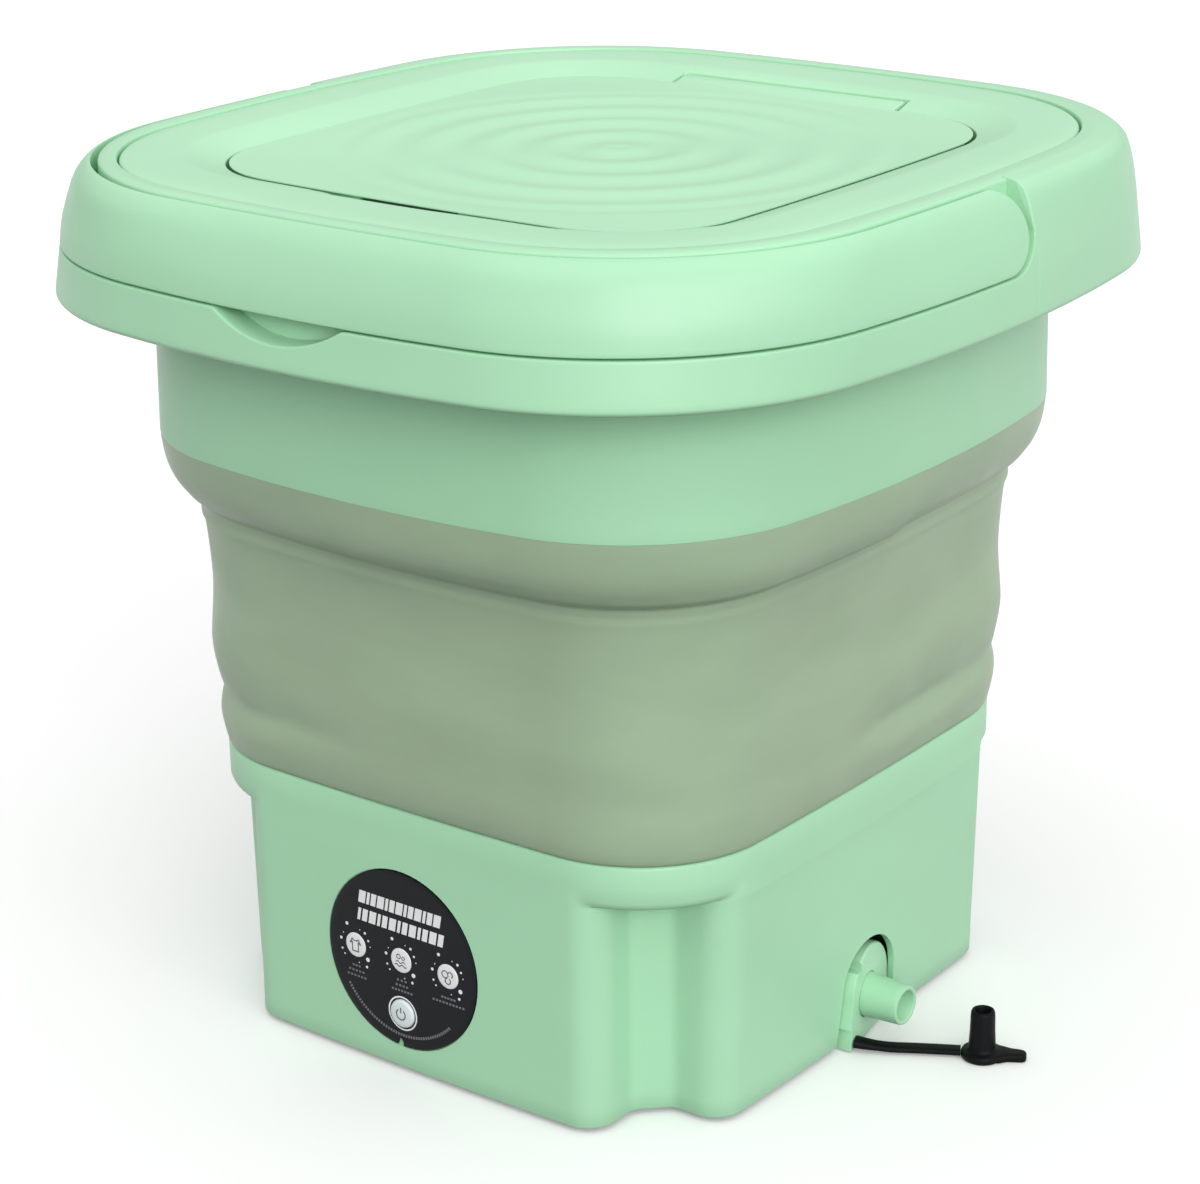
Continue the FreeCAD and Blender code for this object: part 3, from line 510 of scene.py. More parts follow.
def rim_section(x, y, station):
    floor = slot_floor(y)
    scoop = scoop_depth(x, y)
    past = y - SLOT_END
    lip = 0.7 - math.sqrt(max(0.49 - (0.7 - past) ** 2, 0.0)) if floor is None and past < 0.7 else 0.0
    levels = [259.5, 262.5, 266] + list(range(269, 296, 2)) + [296.5]
    if floor is None:
        outer = [on_profile(BACK_ROWS, z) for z in levels]
        outer = [row_at(row[0], row[1:], lip) for row in outer]
        top = on_profile(BACK_ROWS, 298.0)
        top = row_at(298.5, top[1:], lip)
        slot_rows = [(top, 0.9)]
        slot_rows += [(blend_rows(top, CROWN, share), 0.001) for share in (0.4, 0.55, 0.7, 0.85)]
    else:
        edge_z = floor - scoop
        outer = [on_profile(RIM_ROWS, min(z, edge_z - 0.9)) for z in levels]
        edge = on_profile(RIM_ROWS, edge_z)
        deep = row_at(edge_z, edge[1:], 9.0)
        step = row_at(floor, edge[1:], 9.8)
        slot_rows = [(edge, 0.8), (deep, 0.3), (step, 0.3), (core_row(floor), 0.3), (core_row(298.9), 0.9)]
    near_pad = y < 0 and abs(x) < 33.1
    ceiling = 261.5 if near_pad else CEILING_Z
    path = [(row_at(257.2, SKIRT_EDGE), 0.9)] + [(row, 0) for row in outer] + slot_rows
    path += [
        (CROWN, 1.0), (row_at(299.4, LID_SEAM), 0.5), (row_at(LID_LEDGE_Z, LID_SEAM), 0),
        (row_at(LID_LEDGE_Z, RIM_HOLE), 0.4), (row_at(CEILING_Z, RIM_HOLE), 0),
        (row_at(CEILING_Z, SKIRT_EDGE, 19.0), 0.001), (row_at(ceiling, SKIRT_EDGE, 18.8), 0),
        (row_at(ceiling, SKIRT_EDGE, 4.3), 0.5), (row_at(256.6, SKIRT_EDGE, 3.4), 0.6),
        (row_at(256.0, SKIRT_EDGE, 1.4), 0.7),
    ]
    return rounded(path)


RIM_PLACES = stations(X_STOPS, Y_STOPS)
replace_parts(skin("rim_skin", RIM_PLACES, rim_section, "mint_plastic", "rim"), "rim_frame")


# ---- carry handle

def handle_section(x, y, station):
    squeeze = math.sqrt(max(1 - (y / HANDLE_R) ** 2, 0.0)) if y > 0 else 1.0
    hollow = 287.0 if y < -16.0 else 272.75

    def outside(z, depth=0.0):
        level = PIVOT_Z + (z - PIVOT_Z) * squeeze
        row = on_profile(HANDLE_ROWS, level)
        return row_at(level, row[1:], depth)

    def inside(z, extra=0.0):
        return (PIVOT_Z + (z - PIVOT_Z) * squeeze,) + inset(HANDLE_INNER, -extra)

    path = [(outside(272.6), 0.9)]
    path += [(outside(z), 0) for z in (274.5, 277, 279.5, 282, 284.5, 287, 289, 291, 292.5, 294, 295.2,
                                       296.3, 297.3)]
    path += [(outside(298.1), 0.4), (inside(298.6), 0.3), (inside(272.6), 0.4)]
    path += [(inside(272.6, 2.6), 0.3), (inside(hollow, 2.6), 0.3), (outside(hollow, 3.2), 0.3),
             (outside(272.6, 3.0), 0.3)]
    return rounded(path)


HANDLE_STOPS = [-34, -24, -16.1, -15.9, -8, 0]
HANDLE_STOPS += [HANDLE_R * math.sin(math.radians(a)) for a in range(8, 91, 8)] + [HANDLE_R - 0.005, 34.0]
loop = stations(HANDLE_STOPS, Y_STOPS)
kept = [s for s in loop if s[0] == "x" and (s[2] < 0 or s[4] == 0.0) and s[3] < 14.0
        or s[0] != "x" and s[2] < 0]
split = next(i for i, s in enumerate(kept) if s[0] == "x" and s[1] < 0)
HANDLE_PLACES = kept[split:] + kept[:split]
handle = skin("handle_skin", HANDLE_PLACES, handle_section, "mint_plastic", "handle", close_loop=False)
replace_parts(handle, "handle")


# ---- lid frame

BEVEL_WIDTH = 14.0
BEVEL_FOOT_Z = 295.25
POCKET_HALF = 23.0
POCKET_DIP = 2.1
HINGE_HALF = 48.4
HINGE_REACH = 8.4
SEAM_SIDE_R = 1500.0


def rounded_step(distance, half, depth, radius):
    """Depth of a pocket with rounded plan corners, at a distance from its middle."""
    if distance >= half:
        return 0.0
    if distance <= half - radius:
        return depth
    return depth - radius + math.sqrt(max(radius ** 2 - (distance - half + radius) ** 2, 0.0))


def lid_section(x, y, station):
    reach, floor, dip = 0.0, None, 0.0
    if y < 0:
        reach = rounded_step(abs(x), POCKET_HALF, 6.0, 4.0)
        floor = 291.0
        dip = POCKET_DIP * (1 - smooth_share(abs(x), 14.0, 34.0))
    elif station[0] == "y":
        # The slot's back wall is straight, while the seam it is measured from bulges.
        reach = rounded_step(abs(x), HINGE_HALF, HINGE_REACH + x * x / (2 * SEAM_SIDE_R), 1.5)
        floor = 288.6
    bevel_top = (299.1,) + (DOOR_SEAM[0] + BEVEL_WIDTH, DOOR_SEAM[1] + BEVEL_WIDTH, 6.6, 53.4)
    bevel_low = row_at(BEVEL_FOOT_Z - dip, DOOR_SEAM)
    share = reach / BEVEL_WIDTH
    lip = blend_rows(bevel_low, bevel_top, share)
    foot = (floor if reach > 0 else lip[0] - 0.6,) + tuple(lip[1:])
    path = [
        (row_at(284.7, LID_SEAM, 0.55), 0), (row_at(292.0, LID_SEAM, 0.55), 0),
        (row_at(298.9, LID_SEAM, 0.7), 1.3), (row_at(299.3, LID_SEAM, 7.0), 2.0),
        (blend_rows(row_at(299.3, LID_SEAM, 7.0), bevel_top, 0.5), 0), (bevel_top, 1.6), (lip, 0.5),
        (foot, 0.001), (row_at(foot[0], DOOR_SEAM), 0.001), (row_at(288.6, DOOR_SEAM), 0),
        (row_at(288.6, DOOR_SEAM, 6.0), 0),
        (row_at(284.7, DOOR_SEAM, 6.0), 0),
    ]
    return rounded(path)


LID_X_STOPS = [-30.0, -15.0, 0.0, 15.0, 30.0]
pocket_edge = [19.0 + 4.0 * math.sin(math.radians(a)) for a in range(0, 91, 15)]
hinge_edge = [46.9 + 1.5 * math.sin(math.radians(a)) for a in range(0, 91, 30)]
half_stops = [0.0, 5.0, 10.0, 15.0] + pocket_edge + [23.1, 30.0, 38.0] + hinge_edge + [48.5]
LID_Y_STOPS = sorted({-s for s in half_stops} | set(half_stops))
LID_PLACES = stations(LID_X_STOPS, LID_Y_STOPS)
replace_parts(skin("lid_frame_skin", LID_PLACES, lid_section, "lid_plastic", "rim"), "lid_frame")


# ---- lid door with its water ripples

DOOR_TOP = 295.6
DOOR_GAP = 1.15
POCKET_LIP_Z = 294.8
RIPPLE_CENTRE = (5.0, 0.0)
RIPPLE_PITCH = 20.5
RIPPLE_HEIGHT = 0.9


def ripple_height(distance):
    """Height of the ripples at a distance from their centre: strong in the middle, fading outwards."""
    fade = math.exp(-(distance / 190.0) ** 2)
    crest = (0.5 + 0.5 * math.cos(2 * math.pi * (distance - 4.0) / RIPPLE_PITCH)) ** 1.15
    edge = min(1.0, max(0.0, (97.0 - distance) / 9.0))
    return RIPPLE_HEIGHT * fade * edge * (crest - 1.0)


def door_outline(count):
    """Even points round the door's edge with their outline stations."""
    places = stations([0.0], [0.0], steps=count // 16, corner=count // 10)
    return [point(inset(DOOR_SEAM, DOOR_GAP), station) for station in places]


def build_door():
    edge = door_outline(240)
    rings = 96
    verts = []
    for k in range(1, rings + 1):
        share = k / rings
        for x, y in edge:
            dx, dy = x - RIPPLE_CENTRE[0], y - RIPPLE_CENTRE[1]
            reach = math.hypot(dx, dy)
            distance = share * reach
            lift = ripple_height(distance) if reach - distance > 0.5 else 0.0
            verts.append((RIPPLE_CENTRE[0] + dx * share, RIPPLE_CENTRE[1] + dy * share, DOOR_TOP + lift))
    skirt = [(0.1, DOOR_TOP - 0.06), (0.0, DOOR_TOP - 0.2), (0.0, DOOR_TOP - 0.35), (2.6, DOOR_TOP - 0.5),
             (2.6, 289.7), (3.9, 289.7), (3.9, 293.2)]
    for depth, z in skirt:
        for x, y in edge:
            lifted = y < -100.0 and abs(x) < POCKET_HALF - 1.5 and z < POCKET_LIP_Z
            factor = 1 - depth / math.hypot(x, y)
            verts.append((x * factor, y * factor, POCKET_LIP_Z if lifted else z))
    count = len(edge)
    levels = rings + len(skirt)
    faces = grid_faces(levels, count, False, True)
    faces.insert((rings - 1) * count, tuple(range(count)))
    faces.append(tuple((levels - 1) * count + c for c in reversed(range(count))))
    return make_piece("door_skin", verts, faces, "lid_plastic", "lid_door")


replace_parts(build_door(), "door_panel")


def build_hinge_bar():
    """Bar along the door's hinge edge: carries on the door's top and the frame's bevel, then rounds over."""
    section = [(100.5, 290.6), (107.4, 290.6), (109.2, 291.0), (110.3, 292.0), (110.9, 293.4), (110.9, 295.6),
               (110.7, 296.7), (110.2, 297.2), (109.4, 297.3), (106.5, 296.5), (103.6, 295.75),
               (100.5, DOOR_TOP)]
    middle = (105.5, 293.1)
    verts = []
    for x, shrink in ((-46.6, 0.88), (-46.4, 0.97), (-45.9, 1.0), (45.9, 1.0), (46.4, 0.97), (46.6, 0.88)):
        verts += [(x, middle[0] + (y - middle[0]) * shrink, middle[1] + (z - middle[1]) * shrink)
                  for y, z in section]
    make_piece("hinge_bar", verts, capped(6, len(section)), "lid_plastic", "lid_door")


build_hinge_bar()


# ---- upper shell

def shell_section(x, y, station):
    low, high = row_at(UPPER_SEAM_Z, UPPER_SEAM), row_at(SHELL_TOP_Z, SHELL_TOP)
    path = [(low, 0.25)] + [(on_profile([low, high], z), 0) for z in (212, 220, 230, 240, 250, 260)]
    path += [(high, 0), (row_at(SHELL_TOP_Z, RIM_HOLE), 0), (row_at(266.4, RIM_HOLE), 0),
             (row_at(266.4, SHELL_TOP, 2.4), 0), (row_at(UPPER_SEAM_Z, UPPER_SEAM, 2.4), 0.5)]
    return rounded(path)


PLAIN_PLACES = stations([-20.0, 0.0, 20.0], [-20.0, 0.0, 20.0])
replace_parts(skin("upper_shell_skin", PLAIN_PLACES, shell_section, "mint_plastic", "rim"), "upper_shell")


# ---- bellows

# How far the wall has moved from the lower outline to the upper one at each height: (z, share at the pinched
# corners, share at the taut front corner and its opposite).
BELLOWS_SHARES = [
    (LOWER_SEAM_Z, 0.0, 0.0), (101.0, 0.075, 0.09), (106.5, 0.13, 0.135), (111.0, 0.10, 0.15),
    (115.5, 0.03, 0.155),
    (121.0, 0.12, 0.165), (127.0, 0.20, 0.18), (133.0, 0.235, 0.19), (139.0, 0.21, 0.19),
    (149.0, 0.155, 0.17), (156.0, 0.145, 0.16), (166.0, 0.18, 0.18), (174.0, 0.225, 0.23),
    (180.0, 0.275, 0.29), (183.5, 0.35, 0.42),
    (186.5, 0.48, 0.60), (189.5, 0.64, 0.75), (192.5, 0.77, 0.85), (196.0, 0.87, 0.92), (200.5, 0.945, 0.965),
    (UPPER_SEAM_Z, 1.0, 1.0),
]


def bellows_section(x, y, station):
    """The wall hangs taut at the front corner and the one across from it, and is pinched at the other two."""
    off_corner = abs(math.degrees(math.atan2(y, x)) % 180.0 - 135.0)
    pinched = smooth_share(off_corner, 42.0, 80.0)
    rows = [(z,) + blend_rows(LOWER_SEAM, UPPER_SEAM, taut + (slack - taut) * pinched)
            for z, slack, taut in BELLOWS_SHARES]
    levels = np.concatenate([np.linspace(*part) for part in (
        (LOWER_SEAM_Z, 124.0, 24), (126.0, 168.0, 18), (170.0, 175.0, 5), (176.0, 194.0, 32),
        (195.5, UPPER_SEAM_Z, 9))])
    outer = [on_profile(rows, float(z)) for z in levels]
    outer[0] = row_at(LOWER_SEAM_Z, outer[0][1:], 0.5)
    outer[-1] = row_at(UPPER_SEAM_Z, outer[-1][1:], 0.15)
    inner = [row_at(row[0], row[1:], 3.4) for row in reversed(outer[::3])]
    return outer + inner


def bump_at(value, middle, width):
    return np.exp(-((value - middle) / width) ** 2)


def creased(points):
    """The rubber wall's fold line under its top band and its slight waves, strongest where it is pinched."""
    x, y, z = points[..., 0], points[..., 1], points[..., 2]
    angle = np.arctan2(y, x)
    slack = 0.5 + 0.5 * np.sin(2 * angle)
    low_pinch = slack ** 2 * bump_at(z, 116.0, 7.0)
    wave = np.sin(angle * 11 + 0.9) * np.sin(z / 9.0 + angle * 3) + 0.6 * np.sin(angle * 23 + z / 5.0)
    lean = 0.35 * np.sin(angle * 3 + 1.2)
    lean *= np.sin((z - LOWER_SEAM_Z) / (UPPER_SEAM_Z - LOWER_SEAM_Z) * math.pi)
    fold = 184.0 + 0.7 * np.sin(angle * 2 + 0.6)
    groove = -1.1 * bump_at(z, fold, 1.5) - 0.4 * bump_at(z, fold - 2.2, 2.6)
    roll = (0.25 + 0.5 * slack) * bump_at(z, fold - 5.5, 1.9) + 0.4 * bump_at(z, fold + 3.2, 1.7)
    push = 0.45 * wave * low_pinch + lean + groove + roll
    length = np.hypot(x, y)
    moved = points.copy()
    moved[..., 0] += x / length * push
    moved[..., 1] += y / length * push
    return moved


bellows = skin("bellows_skin", stations([-36, -24, -12, 0, 12, 24, 36], [-36, -24, -12, 0, 12, 24, 36]),
               bellows_section, "bellows_rubber", None, shift=creased, sharp=60.0)
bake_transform(bellows)
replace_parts(bellows, "bellows")


# ---- base housing

NOTCH_WALL_X = 75.0
NOTCH_WALL_Y = 81.0
NOTCH_WEB = 165.5
COLUMN_R = 11.0
FLUTE_R = 6.0
SHOULDER_Z = 80.0
FOOT_Z = 1.5
DRAIN_Y = 3.0
DRAIN_HALF = 16.0
DRAIN_SPRING = 20.0
DRAIN_SPLAY = 3.2
PANEL = (-4.0, 41.7)
PANEL_R = 32.0
LENS_PLACES = [(-20.0, 0.0), (0.0, 0.0), (20.0, 0.0)]
LENS_R = 4.4
BUTTON_PLACE = (0.0, -19.5)
BUTTON_R = 5.0


def arc_points(centre, radius, start, end, count):
    """Points on a circle from start to end the short way."""
    first = math.atan2(start[1] - centre[1], start[0] - centre[0])
    turn = math.atan2(end[1] - centre[1], end[0] - centre[0]) - first
    turn = (turn + math.pi) % (2 * math.pi) - math.pi
    return [polar(*centre, radius, first + turn * i / count) for i in range(count + 1)]


def towards(centre, radius, other):
    gap = math.hypot(other[0] - centre[0], other[1] - centre[1])
    return (centre[0] + (other[0] - centre[0]) * radius / gap,
            centre[1] + (other[1] - centre[1]) * radius / gap)


def notched_quadrant(outline, depth):
    """The +X +Y quadrant, with its notch, from the middle of the X side to the middle of the Y side."""
    half_x, half_y, bulge = outline[0] - depth, outline[1] - depth, outline[2]
    radius_x = (half_y ** 2 + bulge ** 2) / (2 * bulge)
    radius_y = (half_x ** 2 + bulge ** 2) / (2 * bulge)
    x0, y0 = half_x - radius_x, half_y - radius_y
    wall_x, wall_y = NOTCH_WALL_X - depth, NOTCH_WALL_Y - depth
    web = NOTCH_WEB - depth * math.sqrt(2)
    column, flute = COLUMN_R - depth, FLUTE_R + depth
    cut_back = flute * math.tan(math.radians(22.5))
    diagonal = cut_back / math.sqrt(2)
    right_cy = wall_y - column
    right = (x0 + math.sqrt((radius_x - column) ** 2 - right_cy ** 2), right_cy)
    front_cx = wall_x - column
    front = (front_cx, y0 + math.sqrt((radius_y - column) ** 2 - front_cx ** 2))
    right_start = towards((x0, 0), radius_x, right)
    front_end = towards((0, y0), radius_y, front)
    low, high = (web - wall_y, wall_y), (wall_x, web - wall_x)
    low_wall, low_web = (low[0] + cut_back, low[1]), (low[0] - diagonal, low[1] + diagonal)
    high_web, high_wall = (high[0] + diagonal, high[1] - diagonal), (high[0], high[1] + cut_back)
    pieces = [
        arc_points((x0, 0), radius_x, (half_x, 0), right_start, 12),
        arc_points(right, column, right_start, (right[0], wall_y), 10),
        straight((right[0], wall_y), low_wall, 3),
        arc_points((low_wall[0], low_wall[1] + flute), flute, low_wall, low_web, 6),
        straight(low_web, high_web, 4),
        arc_points((high_wall[0] + flute, high_wall[1]), flute, high_web, high_wall, 6),
        straight(high_wall, (wall_x, front[1]), 3),
        arc_points(front, column, (wall_x, front[1]), front_end, 10),
        arc_points((0, y0), radius_y, front_end, (0, half_y), 12),
    ]
    points = [p for piece in pieces for p in piece[:-1]]
    return np.array(points + [pieces[-1][-1]])


def straight(start, end, count):
    return [(start[0] + (end[0] - start[0]) * i / count, start[1] + (end[1] - start[1]) * i / count)
            for i in range(count + 1)]


def whole(quadrant):
    """Closed ring from a quadrant that runs from the X axis to the Y axis."""
    second = quadrant[::-1] * (-1, 1)
    third = quadrant * (-1, -1)
    fourth = quadrant[::-1] * (1, -1)
    return np.concatenate([quadrant[:-1], second[:-1], third[:-1], fourth[:-1]])


def plain_quadrant(outline, guide):
    """The plain outline's quadrant, with points at the same shares of its length as the notched guide's."""
    places = stations([0.0], [0.0], 40, 120)
    dense = np.array([point(outline, s) for s in places])
    dense = dense[(dense[:, 0] > -1e-6) & (dense[:, 1] > -1e-6)]
    dense = dense[np.argsort(np.arctan2(dense[:, 1], dense[:, 0]))]
    run = np.concatenate([[0.0], np.cumsum(np.hypot(*np.diff(dense, axis=0).T))])
    start, end = 12, len(guide) - 13
    corner = np.concatenate([[0.0], np.cumsum(np.hypot(*np.diff(guide[start:end + 1], axis=0).T))])
    at = np.interp(np.arctan2(guide[:, 1], guide[:, 0]), np.arctan2(dense[:, 1], dense[:, 0]), run)
    at[start:end + 1] = at[start] + (at[end] - at[start]) * corner / corner[-1]
    return np.stack([np.interp(at, run, dense[:, 0]), np.interp(at, run, dense[:, 1])], axis=1)


def base_outline(z):
    share = (z - FOOT_Z) / (SHOULDER_Z + 4.0 - FOOT_Z)
    return blend_rows(FOOTPRINT, LOWER_SEAM, min(share, 1.0))


def ring_at(quadrant, z):
    loop_points = whole(quadrant)
    return np.column_stack([loop_points, np.full(len(loop_points), z)])


def build_base():
    rings = []
    levels = [(FOOT_Z, 0.9), (FOOT_Z + 0.25, 0.35)]
    levels += [(z, 0.0) for z in (FOOT_Z + 0.9, 8.0, 20.0, 40.0, 60.0, 74.0, SHOULDER_Z - 1.2)]
    for z, depth in levels:
        rings.append(ring_at(notched_quadrant(base_outline(z), depth), z))
    notched = notched_quadrant(LOWER_SEAM, 0.0)
    plain = plain_quadrant(LOWER_SEAM, notched)
    gap = np.hypot(*(notched - plain).T)
    pull = (notched - plain) / np.maximum(gap, 1e-6)[:, None]
    for rise, back in ((-0.3, 12.0), (0.0, 7.0), (0.15, 3.2), (0.8, 1.6), (1.8, 0.7), (3.4, 0.0)):
        rings.append(ring_at(plain + pull * np.minimum(gap, back)[:, None], SHOULDER_Z + rise))
    for z, depth in ((88.0, 0.0), (94.6, 0.0), (95.5, 0.3), (LOWER_SEAM_Z, 1.1), (LOWER_SEAM_Z, 2.4),
                     (SHOULDER_Z + 3.5, 2.4)):
        rings.append(ring_at(plain_quadrant(inset(LOWER_SEAM, depth), notched), z))
    for z in (SHOULDER_Z + 2.4, 40.0, FOOT_Z):
        rings.append(ring_at(notched_quadrant(base_outline(z), 2.4), z))
    points = np.array(rings)
    faces = grid_faces(len(rings), points.shape[1], True, True)
    return make_piece("base_skin", points.reshape(-1, 3), faces, "mint_plastic", None, sharp=30.0)


def cutter(name, loop_points, direction, length):
    """Closed prism from a loop of points pushed along a direction, for cutting openings."""
    count = len(loop_points)
    far = [tuple(a + d * length for a, d in zip(p, direction)) for p in loop_points]
    mesh = bpy.data.meshes.new(name)
    mesh.from_pydata([tuple(c * MM for c in p) for p in list(loop_points) + far], [], capped(2, count, True))
    clean(mesh)
    return link(name, mesh)


def cut(piece, tools):
    """Takes the tools out of a piece and deletes them."""
    for tool in tools:
        modifier = piece.modifiers.new("cut", "BOOLEAN")
        modifier.operation = "DIFFERENCE"
        modifier.solver = "EXACT"
        modifier.object = tool
    depsgraph = bpy.context.evaluated_depsgraph_get()
    mesh = bpy.data.meshes.new_from_object(piece.evaluated_get(depsgraph))
    piece.modifiers.clear()
    piece.data = mesh
    for tool in tools:
        bpy.data.objects.remove(tool)
    clean(mesh, 0.002)


def circle(centre, radius, axis, count=64):
    cx, cy, cz = centre
    if axis == "x":
        return [(cx, *polar(cy, cz, radius, a)) for a in turns(count)]
    return [(x, cy, z) for x, z in (polar(cx, cz, radius, a) for a in turns(count))]


def drill(name, x, z, radius, count, start=-120.0, length=20.0):
    """Round cutter that runs along Y from a start."""
    return cutter(name, circle((x, start, z), radius, "y", count), (0, 1, 0), length)


def arch_loop(half, spring, low, x, centre_y, steps=28):
    top = [(x, *polar(centre_y, spring, half, math.pi * i / steps)) for i in range(steps + 1)]
    splayed = (x, centre_y - half - DRAIN_SPLAY, 0.0)
    return [(x, centre_y + half, low)] + top + [splayed, (x, centre_y - half, low)]


base = build_base()
socket_low, socket_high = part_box("dc_socket")
socket_x = (socket_low.x + socket_high.x) / MM / 2
socket_z = (socket_low.z + socket_high.z) / MM / 2
cut(base, [
    cutter("cut_arch", arch_loop(DRAIN_HALF, DRAIN_SPRING, -5.0, 98.0, DRAIN_Y), (1, 0, 0), 20.0),
    drill("cut_panel", *PANEL, PANEL_R + 0.25, 96, length=9.0),
    drill("cut_socket", socket_x, socket_z, 5.6, 40, start=100.0),
])
finish_piece(base, "mint_plastic", "base", 30.0)
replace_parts(base, "base_housing")


# ---- control panel

def front_y(x, z):
    """The front wall's surface at a place."""
    half_x, half_y, bulge, _ = base_outline(z)
    radius = (half_x ** 2 + bulge ** 2) / (2 * bulge)
    return -(half_y - radius + math.sqrt(radius ** 2 - x * x))


def on_panel(u, v, proud):
    x, z = PANEL[0] + u, PANEL[1] + v
    return x, front_y(x, z) - proud, z


def domed_disc(name, place, radius, proud, deep, dome, material, body, edge=0.5, rings=5, steps=72):
    """Disc that follows the front wall, with a rounded rim and a slight dome."""
    flat = radius - edge
    verts = [on_panel(place[0], place[1], proud + dome)]
    rows = [(min(radius * (i + 1) / rings, flat), proud + dome * (1.0 - ((i + 1) / rings) ** 2))
            for i in range(rings)]
    rows += [(flat + edge * 0.6, proud - edge * 0.2), (radius, proud - edge), (radius, -deep)]
    for reach, height in rows:
        for a in turns(steps):
            verts.append(on_panel(*polar(*place, reach, a), height))
    faces = [(0, 1 + i, 1 + (i + 1) % steps) for i in range(steps)]
    for r in range(len(rows) - 1):
        for i in range(steps):
            j = (i + 1) % steps
            near, far = 1 + r * steps, 1 + (r + 1) * steps
            faces.append((near + i, far + i, far + j, near + j))
    faces.append(tuple(1 + (len(rows) - 1) * steps + i for i in range(steps)))
    return make_piece(name, verts, faces, material, body, 50.0)


disc = domed_disc("panel_skin", (0, 0), PANEL_R - 0.1, 0.35, 0.95, 0.0, "panel_black", None,
                  edge=0.35, rings=16)
panel_cutters = [drill("cut_button", PANEL[0] + BUTTON_PLACE[0], PANEL[1] + BUTTON_PLACE[1],
                       BUTTON_R + 0.3, 48)]
panel_cutters += [drill("cut_lens", PANEL[0] + u, PANEL[1] + v, LENS_R + 0.05, 40) for u, v in LENS_PLACES]
notch = [(PANEL[0] - 1.5 + dx, -120.0, PANEL[1] - PANEL_R - 0.5 + dz) for dx, dz in (
    (-1.7, 0), (1.5, 0), (1.3, 2.2), (0.6, 3.4), (-0.2, 3.3), (-1.2, 2.5))]
cut(disc, panel_cutters + [cutter("cut_notch", notch, (0, 1, 0), 20.0)])
finish_piece(disc, "panel_black", "base", 30.0)
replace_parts(disc, "control_panel")

for number, place in enumerate(LENS_PLACES):
    lens = domed_disc("lens_%d" % number, place, LENS_R, 0.5, 0.9, 0.12, "lamp_white", "base", edge=0.25)
    if number == 0:
        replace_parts(lens, "indicator_lenses")
button = domed_disc("button_skin", BUTTON_PLACE, BUTTON_R, 1.2, 0.95, 0.25, "button_white", "power_button",
                    edge=0.6)
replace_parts(button, "power_button")


def printed(name, shapes, proud, material, body="base", thick=0.05):
    """Printed marks: flat shapes on the panel as thin raised ink, each shape a loop of (u, v) points."""
    verts, faces = [], []
    for shape in shapes:
        count = len(shape)
        start = len(verts)
        verts += [on_panel(u, v, proud + thick) for u, v in shape]
        verts += [on_panel(u, v, proud - thick) for u, v in shape]
        faces.append(tuple(range(start, start + count)))
        faces.append(tuple(reversed(range(start + count, start + 2 * count))))
        for i in range(count):
            j = (i + 1) % count
            faces.append((start + i, start + count + i, start + count + j, start + j))
    return make_piece(name, verts, faces, material, body, 30.0, merge=0.0005)


def blob(u, v, radius, count=14):
    return [polar(u, v, radius, a) for a in turns(count)]


def bar(u0, v0, u1, v1, width):
    """Bar between two points with clipped ends."""
    length = math.hypot(u1 - u0, v1 - v0)
    du, dv = (u1 - u0) / length, (v1 - v0) / length
    nu, nv = -dv * width / 2, du * width / 2
    return [(u0 + nu, v0 + nv), (u0 - nu, v0 - nv), (u1 - nu, v1 - nv), (u1 + nu, v1 + nv)]


def ring_bars(u, v, radius, width, start, end, count, fill=1.0):
    """Ring or arc as short bars: count bars from start to end degrees, each filling a share of its step."""
    shapes = []
    for i in range(count):
        a0 = math.radians(start + (end - start) * i / count)
        a1 = math.radians(start + (end - start) * (i + fill) / count)
        inner, outer = radius - width / 2, radius + width / 2
        corners = ((inner, a0), (outer, a0), (outer, a1), (inner, a1))
        shapes.append([polar(u, v, reach, angle) for reach, angle in corners])
    return shapes


def wave_line(u0, v0, length, height, period, width, steps=30):
    """Wavy stripe, as a strip of quads."""
    shapes = []
    for i in range(steps):
        x0, x1 = length * i / steps, length * (i + 1) / steps
        y0 = height * math.sin(2 * math.pi * x0 / period)
        y1 = height * math.sin(2 * math.pi * x1 / period)
        shapes.append([(u0 + x0, v0 + y0 - width / 2), (u0 + x1, v0 + y1 - width / 2),
                       (u0 + x1, v0 + y1 + width / 2), (u0 + x0, v0 + y0 + width / 2)])
    return shapes


INK = 0.36


def slanted_row(u, v, widths, gap, tall, lean=0.18):
    """Row of leaning blocks from a left end, as loops of panel points."""
    shapes = []
    for width in widths:
        low, high = v - tall / 2, v + tall / 2
        shapes.append([(u, low), (u + width, low), (u + width + lean * tall, high), (u + lean * tall, high)])
        u += width + gap
    return shapes


printed("panel_motif", slanted_row(-18.2, 18.8, (2.9, 1.2, 2.2) * 4 + (2.9,), 0.6, 4.5)
        + slanted_row(-18.9, 12.2, (1.2, 2.2, 2.9) * 4 + (2.2,), 0.8, 4.5), INK, "graphic_white")

# The dots round each lens as (angle, distance, radius).
DOTS = [(118, 7.9, 0.62), (52, 6.9, 0.5), (28, 6.4, 0.42), (172, 6.6, 0.55), (205, 6.8, 0.4),
        (222, 6.9, 0.32), (-38, 6.6, 0.8), (-56, 8.3, 0.5), (8, 6.5, 0.22), (72, 6.4, 0.2),
        (-78, 6.3, 0.22), (150, 6.3, 0.2)]
dots = [blob(*polar(u, v, reach, math.radians(angle)), size)
        for u, v in LENS_PLACES for angle, reach, size in DOTS]
printed("panel_dots", dots, INK, "graphic_white")

